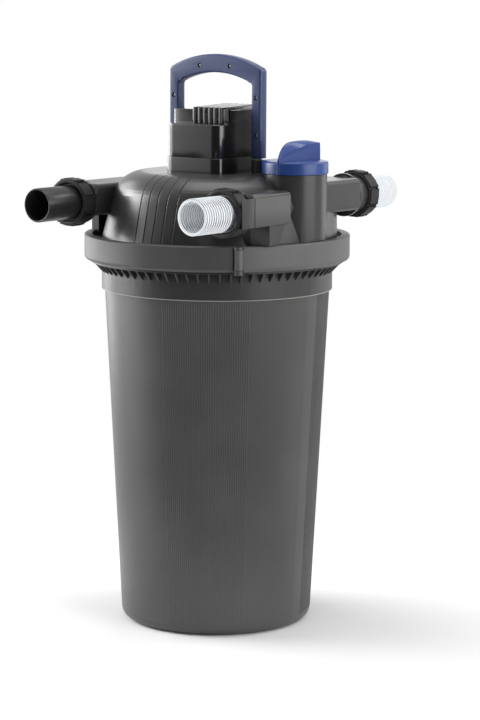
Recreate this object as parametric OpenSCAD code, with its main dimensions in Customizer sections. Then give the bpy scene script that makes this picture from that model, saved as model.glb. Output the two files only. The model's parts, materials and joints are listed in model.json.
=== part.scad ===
// Pressurized pond filter: a tapered container closed by a clamped lid with ducts and a
// selector valve, an ultraviolet head, and a foam stack that a lifting handle squeezes.
// Millimetres, +Z up, origin on the vertical axis at the face the container stands on.

/* [Container] */
// Outer radius of the container at its foot
base_r = 137.5; // [132:0.5:140]
// Outer radius at the top of the tapered wall
wall_top_r = 161.7; // [158:0.1:163]
// Height of the tapered wall
taper_h = 483.5; // [420:0.5:520]
// Thickness of the container wall
wall_t = 4.5; // [3:0.5:6]
// Outer radius of the straight collar above the taper
collar_r = 166; // [165:0.5:168]
// Number of gusset fins under the support flange
gusset_count = 72; // [36:12:90]
// Thickness of one gusset fin
gusset_t = 2.2; // [1.5:0.1:3]

/* [Clamp ring] */
// Outer radius of the clamp ring
ring_r = 190.8; // [190:0.1:192]
// Height of the clamp ring
ring_h = 36; // [35.8:0.1:37]
// Outer radius of the hinge barrel
barrel_r = 6; // [5:0.1:6.2]
// Radius of the hinge pin
hinge_pin_r = 2.5; // [2:0.1:3]

/* [Lid] */
// Height of the dome top above the container rim
dome_h = 110; // [108:0.5:112]
// Radius of the flat top of the dome
dome_flat_r = 105.3; // [104:0.1:107]
// Radius of the rounded shoulder of the dome
shoulder_r = 46.5; // [44:0.5:48]
// Thickness of the dome wall
lid_t = 5; // [4:0.5:6]
// Radius of the outer duct walls
duct_r = 177; // [175:0.5:177.5]
// Half length of the duct walls, front to back
duct_y = 85; // [84:0.5:90]
// Spacing of the decorative grooves on the front of the dome
groove_pitch = 15; // [12:0.5:16]

/* [Ports] */
// Distance of the port axes from the container axis
port_x = 137; // [135:0.5:139]
// Height of the inlet and drain axes above the rim
port_h = 68; // [66:0.5:70]
// Height of the outlet axis above the rim
outlet_h = 75; // [73:0.5:77]
// Outer radius of the union nuts
nut_r = 33.5; // [33:0.5:34.5]
// Outer radius of the smooth inlet tail
smooth_tail_r = 23.9; // [22:0.1:24.5]
// Crest radius of the threaded tails
thread_crest_r = 25; // [24.5:0.1:25.2]
// Pitch of the tail thread
thread_pitch = 5; // [4.5:0.1:5.5]

/* [Valve] */
// Outer radius of the valve tower
tower_r = 45; // [43:0.5:46]
// Outer radius of the knob
knob_r = 46.7; // [46:0.1:48]
// Height of the grip fin above the knob disc
fin_h = 27.5; // [24:0.5:32]

/* [Ultraviolet head] */
// Width of the head, side to side
head_w = 97; // [96:0.5:99]
// Depth of the head, front to back
head_d = 108; // [104:0.5:110]
// Number of ribs on the head cover
rib_count = 6; // [5:1:8]

/* [Handle] */
// Half width of the handle over its legs
handle_x = 82.3; // [81:0.1:84]
// Width of a handle leg
leg_w = 17.3; // [16:0.1:18]
// Thickness of the handle, both shells together
handle_t = 16; // [15:0.5:18]
// Radius of the arched top of the handle
arch_r = 178; // [170:1:190]
// Radius of the pull rods
rod_r = 5; // [4.5:0.1:5.5]

/* [Foam stack] */
// Outer radius of the foam rings
foam_r = 129; // [120:0.5:130]

/* [Hidden] */
$fn = 96;
eps = 0.5;

slope = (wall_top_r - base_r) / taper_h;
foot_fillet = 14;
foot_r = base_r + foot_fillet * slope - foot_fillet;
floor_t = 6;
ledge_r = 161.5 - wall_t + 0.2;
collar_in_r = 161.5;
ledge_z = taper_h + 2.5;
support_z = taper_h + 38.5;
groove_z0 = taper_h + 41.5;
groove_z1 = taper_h + 46.9;
rim_z = taper_h + 57.5;
support_r = 181;
neck_r = 170;
flange_r = 184;
seal_r = 171;
seal_d = 5.6;
seal_groove = seal_d / 2 + 0.4;
gusset_h = 13.5;
gusset_reach = 2;
gusset_turn = 3.8;

ring_z0 = taper_h + 42;
ring_z1 = ring_z0 + ring_h;
ring_corner_r = 6;
ring_chamfer = 1.2;
lip_t = 4.6;
lip_gap = 0.4;
channel_r = 184.9;
lower_lip_r = 172.5;
upper_lip_r = 179;
ring_gap = 0.6;
hinge_a = -43.7;
hinge_r = 191.5;
lug_t = 3.5;
barrel_gap = 0.4;
swing_cut_r = barrel_r + 1.5;
hinge_drop = 3;

lever_t0 = -16;
lever_r = 197.5;
lever_z0 = ring_z0 + 9.5;
lever_h = 17;
lever_eye_r = 4.5;
lever_arm = [5, 50];
lever_hook = [5, 6];
lever_grip = [6, 4];
catch_y = 20;
catch_size = [6, 5.5];
ear_h = 4.4;
ear_size = [11.5, 12];
ring_root = 4;
latch_pin_r = 2;
press_fit = 0.02;
running_fit = 0.05;

lid_z0 = rim_z + 0.4;
flange_z1 = ring_z1 - 6.1;
lip_room = 0.5;
dome_top = rim_z + dome_h;
shoulder_z = dome_top - shoulder_r;
draft = 14;
dome_base_r = dome_flat_r + shoulder_r * cos(draft)
    + (shoulder_z + shoulder_r * sin(draft) - flange_z1) * tan(draft);
lower_wall_z = rim_z + 71;
web_y0 = -56;
web_y1 = -31;
web_slant = 30;
web_back = duct_y + 5;
root_y = -104;
root_gap = 0.8;
root_inset = 0.2;
inlet_foot_x = -163;
inlet_foot_y = -86;
inlet_foot_w = 13;
inlet_foot_d = 36;
recess_w = 70;
recess_back = -45;
nose_r = 34.5;
nose_h = 12;
nose_slope = 0.6;
web_foot_r = 173.2;
web_top_r = 172;
arm_w = 66;
arm_h = 45;
arm_end = 146.4;
arm_rise = 3.2;
arm_corner_r = 7;
arm_wall = 7;
outlet_root = 10;
outlet_arm_end = 114;
outlet_collar = [118, 5.2];
outlet_back = 6.6;
neck_end = 158;
neck_collar_r = 31;
neck_collar_h = 9.2;
neck_thread_r = 29;
neck_ring_step = 4;
bore_r = 20;
cross_bore_r = 15;
box_back = 55;
duct_corner_r = 30;
groove_x0 = -19;
groove_n = 5;
groove_w = 1.4;
groove_depth = 1.2;
boss_r = 10.5;
boss_top = dome_top + 19;
head_port_r = 34;

port_z = rim_z + port_h;
outlet_z = rim_z + outlet_h;
gasket_end = 160.4;
tail_flange_end = 164.8;
nut_start = 148;
nut_lip = 165;
nut_end = 170;
inlet_end = 234;
drain_end = 234;
outlet_end = 222;
tail_bore_r = 20.5;
tail_flange_r = 28.8;
gasket_r = 28.4;
thread_root_r = 23.4;
lug_count = 8;
lug_w = 16;
nut_lug_h = 2;

tower_top = rim_z + 113;
rotor_r = 37.6;
tower_bore_r = 38;
rotor_z0 = rim_z + 33;
rotor_z1 = rim_z + 109;
rotor_port_r = 17;
drive_w = 14;
drive_h = 18;
valve_seal_r = 1.35;
knob_z0 = tower_top + 0.4;
knob_disc_h = 17.6;
fin_turn = 95.5;
fin_root = 2;
fin_back_r = 37.7;
fin_nose_w = 2.5;
fin_ramp = 32.2;
fin_corner_r = 4;
fin_back_a = 31.5;
knob_edge_r = 3;
scoop_r = 50;

head_x = -2.5;
head_y = -3;
head_base_z1 = dome_top + 21.5;
ledge_top = dome_top + 69;
block_front = -41;
block_top = dome_top + 89;
block_d = 81;
head_corner_r = 14.5;
head_wall = 3;
bay_x0 = -13;
bay_w = 56;
wall_front = -29.5;
rib_rise = 2;
cover_back = 33;
cover_slant = 3;
post_spots = [[-36, -43], [31, -43], [-36, 35], [31, 35]];
post_r = 5;
post_h = 43;
board_z = dome_top + 47;
board_t = 1.8;
sleeve_r = 20;
sleeve_wall = 2;
sleeve_flange_r = 24;
lamp_z0 = dome_top - 306;
lamp_r = 7;
lamp_x = 8.5;
lamp_cap_r = 17;
gland_nut_r = 11;
cord_hole_r = 3.6;

rod_x = handle_x - leg_w / 2;
leg_z0 = dome_top + 21;
arch_z = dome_top + 166 - arch_r;
arch_t = 26;
shoulder_corner_r = 7;
grip_corner_r = 9;
screw_head_r = 3;
screw_r = 1.75;
screw_spots = [
    [-27, dome_top + 149.5], [27, dome_top + 149.5],
    [-rod_x, dome_top + 106], [rod_x, dome_top + 106],
    [-rod_x, dome_top + 53.6], [rod_x, dome_top + 53.6]
];

foam_count = 6;
plate_z0 = 66;
plate_t = 8;
foam_gap = 0.4;
foam_z0 = plate_z0 + plate_t + foam_gap;
foam_pitch = (ledge_z - foam_z0) / foam_count;
tube_r = 46;

container_grey = "#4c4c4e";
lid_black = "#2b2b2c";
handle_blue = "#343c68";
knob_blue = "#33508f";
clear_tint = "#d8dde0";
steel_grey = "#b4b6b8";
seal_black = "#1c1c1c";

// Points on an arc, from angle a0 to angle a1
function arc(cx, cy, r, a0, a1, n) =
    [for (i = [0:n]) [cx + r * cos(a0 + (a1 - a0) * i / n), cy + r * sin(a0 + (a1 - a0) * i / n)]];

// Rectangle with round corners, centred
module round_rect(w, h, r) {
    square([w - 2 * r, h], center = true);
    square([w, h - 2 * r], center = true);
    for (x = [-1, 1], y = [-1, 1])
        translate([x * (w / 2 - r), y * (h / 2 - r)]) circle(r);
}

// Ring standing on z0
module tube(ro, ri, z0, z1) {
    translate([0, 0, z0]) difference() {
        cylinder(r = ro, h = z1 - z0);
        translate([0, 0, -eps]) cylinder(r = ri, h = z1 - z0 + 2 * eps);
    }
}

// Puts a shape modelled along +Z on a port axis that points along side * Y
module on_port(x, z, side) {
    translate([x, 0, z]) rotate([-90 * side, 0, 0]) children();
}

// Container with its flanges and gusset fins
module container() {
    color(container_grey) {
        rotate_extrude($fn = 180) polygon(concat(
            [[0, 0]],
            arc(foot_r, foot_fillet, foot_fillet, -90, 0, 8),
            [
                [wall_top_r, taper_h], [collar_r, taper_h], [collar_r, support_z],
                [support_r, support_z], [support_r, groove_z0], [neck_r, groove_z0],
                [neck_r, groove_z1], [flange_r, groove_z1], [flange_r, rim_z],
                [seal_r + seal_groove, rim_z], [seal_r + seal_groove, rim_z - seal_d],
                [seal_r - seal_groove, rim_z - seal_d], [seal_r - seal_groove, rim_z],
                [collar_in_r, rim_z], [collar_in_r, ledge_z], [ledge_r, ledge_z],
                [base_r + floor_t * slope - wall_t, floor_t], [0, floor_t]
            ]
        ));
        for (i = [0:gusset_count - 1])
            rotate([0, 0, gusset_turn + i * 360 / gusset_count]) gusset();
    }
}

// One thin triangular fin between the collar and the support flange
module gusset() {
    translate([0, gusset_t / 2, 0]) rotate([90, 0, 0]) linear_extrude(gusset_t) polygon([
        [collar_r - 1, support_z - gusset_h], [collar_r + 0.6, support_z - gusset_h],
        [support_r - gusset_reach, support_z - 0.4], [support_r - gusset_reach, support_z + 1],
        [collar_r - 1, support_z + 1]
    ]);
}

// Round cord seal in the rim groove
module lid_seal() {
    color(seal_black) translate([0, 0, rim_z - seal_d / 2])
        rotate_extrude() translate([seal_r, 0]) circle(seal_d / 2, $fn = 32);
}

// Full clamp ring, a channel that embraces both flanges
module clamp_ring() {
    rotate_extrude($fn = 180) polygon(concat(
        [[lower_lip_r, ring_z0]],
        arc(ring_r - ring_corner_r, ring_z0 + ring_corner_r, ring_corner_r, -90, 0, 8),
        [
            [ring_r, ring_z1 - ring_chamfer], [ring_r - ring_chamfer, ring_z1], [upper_lip_r, ring_z1],
            [upper_lip_r, flange_z1 + lip_gap], [channel_r, flange_z1 + lip_gap],
            [channel_r, ring_z0 + lip_t], [lower_lip_r, ring_z0 + lip_t]
        ]
    ));
}

// Half space used to split the clamp ring; side 1 is the swinging half
module half_space(side) {
    rotate([0, 0, hinge_a]) translate([-300, side > 0 ? ring_gap / 2 : -300 - ring_gap / 2, ring_z0 - 20])
        cube([600, 300, ring_h + 40]);
}

// Moves a shape to the hinge axis
module at_hinge() {
    rotate([0, 0, hinge_a]) translate([hinge_r, 0, 0]) children();
}

// Frame at the latch: local X is outwards, local Y runs along the ring to the fixed half
module at_latch() {
    rotate([0, 0, hinge_a + 180]) children();
}

// Fixed half of the clamp ring, with the two hinge lugs and the latch catch
module clamp_fixed_half() {
    color(container_grey) difference() {
        union() {
            difference() {
                intersection() {
                    clamp_ring();
                    half_space(-1);
                }
                at_hinge() translate([0, 0, ring_z0 + lug_t])
                    cylinder(r = swing_cut_r, h = ring_h - 2 * lug_t);
            }
            at_hinge() translate([0, 0, ring_z0 - hinge_drop])
                cylinder(r = barrel_r + 0.2, h = lug_t + hinge_drop);
            at_hinge() translate([0, 0, ring_z1 - lug_t]) cylinder(r = barrel_r + 0.2, h = lug_t);
            at_latch() translate([ring_r - ring_root, catch_y, lever_z0])
                cube([catch_size[0], catch_size[1], lever_h]);
        }
        at_hinge() translate([0, 0, ring_z0 - hinge_drop - eps])
            cylinder(r = hinge_pin_r + press_fit, h = ring_h + hinge_drop + 2 * eps);
    }
}

// Swinging half of the clamp ring, with the hinge barrel and the lever ears
module clamp_swing_half() {
    color(container_grey) difference() {
        union() {
            difference() {
                intersection() {
                    clamp_ring();
                    half_space(1);
                }
                for (z = [ring_z0 - eps, ring_z1 - lug_t - barrel_gap])
                    at_hinge() translate([0, 0, z])
                        cylinder(r = swing_cut_r, h = lug_t + barrel_gap + eps);
            }
            at_hinge() translate([0, 0, ring_z0 + lug_t + barrel_gap])
                cylinder(r = barrel_r, h = ring_h - 2 * (lug_t + barrel_gap));
            for (z = [lever_z0 - ear_h - 0.4, lever_z0 + lever_h + 0.4]) at_latch()
                translate([ring_r - ring_root, lever_t0 - ear_size[1] / 2, z])
                    cube([ear_size[0], ear_size[1], ear_h]);
        }
        at_hinge() translate([0, 0, ring_z0 - eps])
            cylinder(r = hinge_pin_r + running_fit, h = ring_h + 2 * eps);
        at_latch() translate([lever_r, lever_t0, ring_z0])
            cylinder(r = latch_pin_r + press_fit, h = ring_h, $fn = 32);
    }
}

// Vertical pin through the hinge lugs and barrel
module clamp_hinge_pin() {
    color(steel_grey) at_hinge() translate([0, 0, ring_z0 - hinge_drop + 0.3])
        cylinder(r = hinge_pin_r, h = ring_h + hinge_drop - 0.6);
}

// Lever that hooks over the catch on the fixed half
module latch_lever() {
    color(container_grey) at_latch() difference() {
        union() {
            translate([lever_r, lever_t0, lever_z0]) cylinder(r = lever_eye_r, h = lever_h);
            translate([lever_r - 3.9, lever_t0, lever_z0]) cube([lever_arm[0], lever_arm[1], lever_h]);
            translate([lever_r - 7.1, 28, lever_z0]) cube([lever_hook[0], lever_hook[1], lever_h]);
            translate([lever_r - 1, 30, lever_z0]) cube([lever_grip[0], lever_grip[1], lever_h]);
        }
        translate([lever_r, lever_t0, lever_z0 - eps])
            cylinder(r = latch_pin_r + running_fit, h = lever_h + 2 * eps, $fn = 32);
    }
}

// Pin that carries the lever between its ears
module latch_pin() {
    color(steel_grey) at_latch() translate([lever_r, lever_t0, lever_z0 - ear_h])
        cylinder(r = latch_pin_r, h = lever_h + 2 * ear_h, $fn = 32);
}

// Dome of revolution, drawn in by an inset, standing on z0
module dome(inset, z0) {
    rotate_extrude($fn = 180) polygon(concat(
        [[0, z0], [dome_base_r - inset, z0], [dome_base_r - inset, flange_z1]],
        arc(dome_flat_r, shoulder_z, shoulder_r - inset, draft, 90, 12),
        [[0, dome_top - inset]]
    ));
}

// Plan of the lower duct walls on both sides of the dome
module duct_plan(inset) {
    intersection() {
        circle(duct_r - inset, $fn = 180);
        round_rect(2 * (duct_r - inset), 2 * (duct_y - inset), duct_corner_r);
    }
}

// Rounded box arm along Y, from y0 to y1
module arm_box(x, z, y0, y1, w, h, r) {
    translate([x, y1, z]) rotate([90, 0, 0]) linear_extrude(y1 - y0) round_rect(w, h, r);
}

// Round connection stub with thread rings, from its root in the arm
module neck(root) {
    translate([0, 0, root]) cylinder(r = neck_thread_r - 1.4, h = neck_end - root);
    for (y = [nut_start + 1:neck_ring_step:neck_end - neck_ring_step])
        translate([0, 0, y]) cylinder(r = neck_thread_r, h = neck_ring_step / 2);
}

// Collar of a neck, just behind its nut
module neck_collar() {
    translate([0, 0, nut_start - 0.4 - neck_collar_h]) cylinder(r = neck_collar_r, h = neck_collar_h);
}

// Puts a fitting on the outlet, which is a little shorter than the other two ports
module on_outlet() {
    on_port(port_x, outlet_z, 1) translate([0, 0, -outlet_back]) children();
}

// Solid outer forms of the ducts, arms and valve tower
module duct_forms() {
    difference() {
        union() {
            intersection() {
                translate([0, 0, flange_z1 - eps])
                    linear_extrude(lower_wall_z - flange_z1 + eps) duct_plan(0);
                dome_shadow();
            }
            arm_box(port_x, port_z + arm_rise, -arm_end, web_y0, arm_w, arm_h, arm_corner_r);
            arm_root();
        }
        web_cut();
        inlet_recess();
        on_port(port_x, port_z, -1) arm_nose();
    }
    inlet_foot();
    difference() {
        arm_box(-port_x, port_z + arm_rise, -arm_end, box_back, arm_w, arm_h, arm_corner_r);
        on_port(-port_x, port_z, -1) arm_nose();
    }
    arm_box(port_x, outlet_z + arm_rise, outlet_root, outlet_arm_end, arm_w, arm_h, arm_corner_r);
    for (x = [-port_x, port_x]) on_port(x, port_z, -1) {
        neck(arm_end);
        neck_collar();
    }
    on_outlet() neck(outlet_arm_end + outlet_back - 2);
    on_port(port_x, outlet_z, 1) translate([0, 0, outlet_collar[0]])
        cylinder(r = neck_collar_r, h = outlet_collar[1]);
    on_port(port_x, port_z, -1) cylinder(r = bore_r + 4, h = -web_y0 + 2);
    translate([port_x, 0, flange_z1 - eps]) cylinder(r = tower_r, h = tower_top - flange_z1 + eps);
}

// Foot of the drain arm, flush with its side, that stands just above the clamp ring
module arm_root() {
    foot_z = ring_z1 + root_gap;
    translate([port_x, root_y, foot_z])
        cube([arm_w / 2 - root_inset, web_y0 - root_inset - root_y, port_z - foot_z]);
}

// Foot of the inlet arm, a narrow wall under the arm's outer side
module inlet_foot() {
    foot_z = ring_z1 + root_gap;
    translate([inlet_foot_x, inlet_foot_y, foot_z])
        cube([inlet_foot_w, inlet_foot_d, port_z - foot_z]);
}

// Room between the foot of the inlet arm and the dome
module inlet_recess() {
    front = -duct_y - 5;
    translate([inlet_foot_x + inlet_foot_w - root_inset, front, flange_z1])
        cube([recess_w, recess_back - front, port_z - flange_z1]);
}

// Cone that brings the corners of an arm's end down to the size of its nut
module arm_nose() {
    translate([0, 0, arm_end - nose_h]) difference() {
        cylinder(r = arm_w, h = nose_h + 1);
        translate([0, 0, -1])
            cylinder(r1 = nose_r + nose_slope * (nose_h + 1), r2 = nose_r - nose_slope * 2, h = nose_h + 3);
    }
}

// Keeps the duct walls out of the middle of the dome cavity
module dome_shadow() {
    difference() {
        translate([-200, -200, flange_z1 - 1]) cube([400, 400, 200]);
        translate([0, 0, flange_z1 - 2]) cylinder(r = dome_base_r - lid_t - 18, h = 202);
    }
}

// Material taken off beside the valve tower, which leaves a three-cornered web there
module web_cut() {
    top_z = lower_wall_z + 2;
    translate([port_x, 0, 0]) rotate([90, 0, 90]) linear_extrude(100) polygon([
        [web_y0 + root_gap, top_z], [web_y1, flange_z1 + root_gap], [web_y1, top_z]
    ]);
    difference() {
        translate([100, 0, 0]) rotate([90, 0, 90]) linear_extrude(100) polygon([
            [web_y0 - web_slant, flange_z1], [web_back, flange_z1],
            [web_back, top_z], [web_y0, top_z]
        ]);
        rotate_extrude($fn = 180) polygon([
            [0, flange_z1 - 1], [web_foot_r, flange_z1 - 1],
            [web_top_r, lower_wall_z + 3], [0, lower_wall_z + 3]
        ]);
    }
}

// Thin slots that draw lines over the front of the dome
module dome_grooves() {
    difference() {
        for (i = [0:groove_n - 1])
            translate([groove_x0 + i * groove_pitch - groove_w / 2, -200, flange_z1 + 4])
                cube([groove_w, 132, 200]);
        dome(groove_depth, flange_z1);
    }
}

// Hollows inside the arms, the tower and the bosses
module lid_hollows() {
    arm_box(
        -port_x, port_z + arm_rise, -arm_end + 9, box_back - 6,
        arm_w - 2 * arm_wall, arm_h - 12, arm_corner_r
    );
    translate([-port_x, 0, port_z]) rotate([0, 90, 0]) cylinder(r = cross_bore_r, h = 60);
    on_port(-port_x, port_z, -1) cylinder(r = bore_r, h = 200);
    on_port(port_x, port_z, -1) cylinder(r = bore_r, h = 200);
    on_port(port_x, outlet_z, 1) cylinder(r = bore_r, h = 200);
    translate([port_x, 0, rotor_z0 - 2]) cylinder(r = tower_bore_r, h = 200);
    translate([port_x - 70, 0, port_z]) rotate([0, 90, 0]) cylinder(r = cross_bore_r, h = 60);
    for (x = [-rod_x, rod_x])
        translate([x, 0, dome_top - 60]) cylinder(r = boss_r - 3, h = 100);
    translate([0, 0, dome_top - 60]) cylinder(r = head_port_r, h = 100);
}

// Lid: dome, clamp flange, ducts, arms, valve tower and rod bosses, clear of the ring's lip
module lid() {
    color(lid_black) difference() {
        union() {
            difference() {
                union() {
                    dome(0, lid_z0);
                    tube(flange_r, dome_base_r - 10, lid_z0, flange_z1);
                }
                dome(lid_t, lid_z0 - eps);
            }
            duct_forms();
            for (x = [-rod_x, rod_x])
                translate([x, 0, dome_top - 12]) cylinder(r = boss_r, h = boss_top - dome_top + 12);
            tube(head_port_r + 5, head_port_r - 1, dome_top - 18, dome_top - lid_t + 1);
        }
        lid_hollows();
        dome_grooves();
        tube(ring_r + 20, upper_lip_r - lip_room, flange_z1, ring_z1 + lip_room);
    }
}

// Flat ring between a neck and the tail flange
module port_gasket() {
    color(seal_black) tube(gasket_r, bore_r + 1, neck_end, gasket_end);
}

module inlet_gasket() { on_port(-port_x, port_z, -1) port_gasket(); }
module drain_gasket() { on_port(port_x, port_z, -1) port_gasket(); }
module outlet_gasket() { on_outlet() port_gasket(); }

// Smooth hose tail
module smooth_tail(end) {
    difference() {
        union() {
            translate([0, 0, gasket_end]) cylinder(r = smooth_tail_r, h = end - gasket_end);
            translate([0, 0, gasket_end]) cylinder(r = tail_flange_r, h = tail_flange_end - gasket_end);
        }
        translate([0, 0, gasket_end - eps]) cylinder(r = tail_bore_r + 1, h = end);
    }
}

// Clear tail with a coarse outer thread, drawn as rings with flat crests
module threaded_tail(end) {
    thread_start = nut_end + 6;
    turns = floor((end - thread_start) / thread_pitch);
    difference() {
        union() {
            translate([0, 0, gasket_end]) cylinder(r = thread_root_r, h = end - gasket_end);
            translate([0, 0, gasket_end]) cylinder(r = tail_flange_r, h = tail_flange_end - gasket_end);
            for (i = [0:turns - 1]) translate([0, 0, end - thread_pitch * i]) rotate_extrude() polygon([
                [thread_root_r - 1, -thread_pitch * 0.62], [thread_root_r, -thread_pitch * 0.62],
                [thread_crest_r, -thread_pitch * 0.40], [thread_crest_r, -thread_pitch * 0.12],
                [thread_root_r, 0], [thread_root_r - 1, 0]
            ]);
        }
        translate([0, 0, gasket_end - eps]) cylinder(r = tail_bore_r, h = end);
    }
}

module inlet_tail() { color(lid_black) on_port(-port_x, port_z, -1) smooth_tail(inlet_end); }
module drain_tail() { color(clear_tint) on_port(port_x, port_z, -1) threaded_tail(drain_end); }
module outlet_tail() { color(clear_tint) on_outlet() threaded_tail(outlet_end + outlet_back); }

// Union nut with grip lugs, plain inside where it turns on the neck
module union_nut() {
    color(lid_black) difference() {
        union() {
            translate([0, 0, nut_start]) cylinder(r = nut_r - nut_lug_h, h = nut_end - nut_start);
            translate([0, 0, nut_end - 6]) cylinder(r = nut_r - 0.5, h = 6);
            for (i = [0:lug_count - 1]) rotate([0, 0, i * 360 / lug_count]) intersection() {
                tube(nut_r, nut_r - 2 * nut_lug_h, nut_start + 1, nut_end - 1);
                translate([0, -lug_w / 2, nut_start]) cube([nut_r + 2, lug_w, nut_end - nut_start]);
            }
        }
        translate([0, 0, nut_start - eps]) cylinder(r = neck_thread_r + 0.4, h = nut_lip - nut_start + eps);
        translate([0, 0, nut_start]) cylinder(r = thread_crest_r + 0.5, h = nut_end - nut_start + eps);
    }
}

module inlet_nut() { on_port(-port_x, port_z, -1) union_nut(); }
module drain_nut() { on_port(port_x, port_z, -1) union_nut(); }
module outlet_nut() { on_outlet() union_nut(); }

// Hollow rotor that joins the outlet or the drain to the filter
module valve_rotor() {
    color(seal_black) translate([port_x, 0, 0]) difference() {
        union() {
            translate([0, 0, rotor_z0]) cylinder(r = rotor_r, h = rotor_z1 - rotor_z0);
            translate([-drive_w / 2, -drive_w / 2, rotor_z1 - eps]) cube([drive_w, drive_w, drive_h + eps]);
        }
        translate([0, 0, rotor_z0 + 5]) cylinder(r = rotor_r - 6, h = rotor_z1 - rotor_z0 - 12);
        translate([0, 0, outlet_z]) rotate([-90, 0, 0]) cylinder(r = rotor_port_r, h = 60);
        translate([-60, 0, port_z]) rotate([0, 90, 0]) cylinder(r = cross_bore_r, h = 60);
        for (z = seal_heights()) tube(rotor_r + 2, rotor_r - 2.6, z - 1.8, z + 1.8);
    }
}

function seal_heights() = [rotor_z0 + 8, rotor_z1 - 8];

// Two round seals in the rotor grooves
module valve_seals() {
    color("#5a2020") translate([port_x, 0, 0]) for (z = seal_heights())
        translate([0, 0, z]) rotate_extrude() translate([rotor_r - 1.2, 0]) circle(valve_seal_r, $fn = 24);
}

// Grip fin: a wedge in plan that rises in a curve from its nose
module grip_fin() {
    difference() {
        intersection() {
            translate([0, 0, -fin_root]) linear_extrude(fin_h + fin_root) polygon(concat(
                [[-knob_r, -fin_nose_w]],
                arc(0, 0, fin_back_r, -fin_back_a, fin_back_a, 10),
                [[-knob_r, fin_nose_w]]
            ));
            translate([0, 30, 0]) rotate([90, 0, 0]) linear_extrude(60) polygon(concat(
                [[-knob_r, -fin_root], [fin_back_r + 1, -fin_root]],
                arc(fin_back_r - fin_corner_r, fin_h - fin_corner_r, fin_corner_r, 0, 90, 5),
                [for (a = [0:10:90]) [fin_ramp - knob_r - fin_ramp * sin(a), fin_h * cos(a)]]
            ));
        }
        for (side = [-1, 1]) translate([-15.1, side * 58, 9]) sphere(scoop_r);
    }
}

// Knob disc with a raised grip fin and a pointer rib on its rim
module valve_knob() {
    fin_z = knob_z0 + knob_disc_h;
    color(knob_blue) translate([port_x, 0, 0]) difference() {
        union() {
            rotate_extrude() polygon(concat(
                [[0, knob_z0], [knob_r, knob_z0]],
                arc(knob_r - knob_edge_r, fin_z - knob_edge_r, knob_edge_r, 0, 90, 6),
                [[0, fin_z]]
            ));
            translate([0, 0, fin_z]) rotate([0, 0, fin_turn]) grip_fin();
            rotate([0, 0, fin_turn]) translate([-knob_r - 0.8, -fin_nose_w, knob_z0])
                cube([6, 2 * fin_nose_w, knob_disc_h]);
        }
        translate([-drive_w / 2 - 0.2, -drive_w / 2 - 0.2, knob_z0 - eps])
            cube([drive_w + 0.4, drive_w + 0.4, drive_h - 3.5]);
    }
}

// Plan of the head, drawn in by an inset
module head_plan(inset) {
    corner_r = head_corner_r - min(inset, head_wall);
    translate([head_x, head_y]) round_rect(head_w - 2 * inset, head_d - 2 * inset, corner_r);
}

// Lower tray of the head with its spigot and the posts for the board
module head_base() {
    color(lid_black) difference() {
        union() {
            difference() {
                translate([0, 0, dome_top]) linear_extrude(head_base_z1 - dome_top) head_plan(-2);
                translate([0, 0, dome_top + 5]) linear_extrude(50) head_plan(2);
            }
            translate([0, 0, dome_top - 21]) cylinder(r = head_port_r - 0.4, h = 22);
            board_posts() cylinder(r = post_r, h = post_h);
        }
        translate([0, 0, dome_top - 60]) cylinder(r = sleeve_r + 0.3, h = 100);
        translate([0, 0, dome_top - 21 - eps]) cylinder(r = 25, h = 8 + eps);
        board_posts() translate([0, 0, 33]) cylinder(r = 2.05, h = 20, $fn = 32);
    }
}

// Places a shape on each board post, from the floor of the tray
module board_posts() {
    for (p = post_spots)
        translate([p[0], p[1], dome_top + 4]) children();
}

// Upper shell of the head with a stepped top and a bay for the cover
module head_housing() {
    color(lid_black) difference() {
        union() {
            translate([0, 0, head_base_z1 + 0.4])
                linear_extrude(ledge_top - head_base_z1 - 0.4) head_plan(0);
            translate([0, 0, ledge_top - 1]) linear_extrude(block_top - ledge_top + 1) head_block();
        }
        translate([0, 0, head_base_z1])
            linear_extrude(ledge_top - head_base_z1 - head_wall) head_plan(head_wall);
        translate([bay_x0, block_front - 5, ledge_top + 4]) cube([bay_w, block_d - 1.5, 60]);
        translate([bay_x0 + bay_w, block_front - 10, ledge_top])
            cube([20, wall_front - block_front + 10, 60]);
    }
}

// Plan of the raised block on top of the head, flush with the head on its right
module head_block() {
    translate([head_x + 1, block_front + block_d / 2]) round_rect(head_w - 2, block_d, 5);
}

// Ribbed cover in the bay of the housing
module head_cover() {
    cover_x0 = bay_x0 + 0.4;
    cover_z0 = ledge_top + 4.4;
    cover_h = block_top - ledge_top - 3;
    rib_pitch = (bay_w - 1) / rib_count;
    color(lid_black) {
        cover_slab(cover_x0, bay_w - 0.8, cover_z0, cover_h, 0);
        for (i = [0:rib_count - 1])
            cover_slab(cover_x0 + rib_pitch * (i + 0.22), rib_pitch * 0.56, cover_z0, cover_h, rib_rise);
    }
}

// Slab of the cover from x0, whose top climbs to the back; proud by rise in front and on top
module cover_slab(x0, w, z0, h, rise) {
    front = block_front - 0.6 - rise;
    translate([x0, 0, z0]) rotate([90, 0, 90]) linear_extrude(w) polygon([
        [front, 0], [cover_back - 0.6, 0], [cover_back - 0.6, h + rise + cover_slant], [front, h + rise]
    ]);
}

// Cable gland on the back of the head, without a cord
module cable_gland() {
    color(seal_black) translate([22, head_y + head_d / 2, dome_top + 46]) rotate([-90, 0, 0]) difference() {
        union() {
            cylinder(r = 12, h = 4, $fn = 6);
            cylinder(r = 8, h = 9);
            translate([0, 0, 7]) cylinder(r = gland_nut_r, h = 9, $fn = 8);
            translate([0, 0, 15.5]) cylinder(r1 = 9.5, r2 = 6, h = 5);
        }
        translate([0, 0, 8]) cylinder(r = cord_hole_r, h = 20);
    }
}

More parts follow.
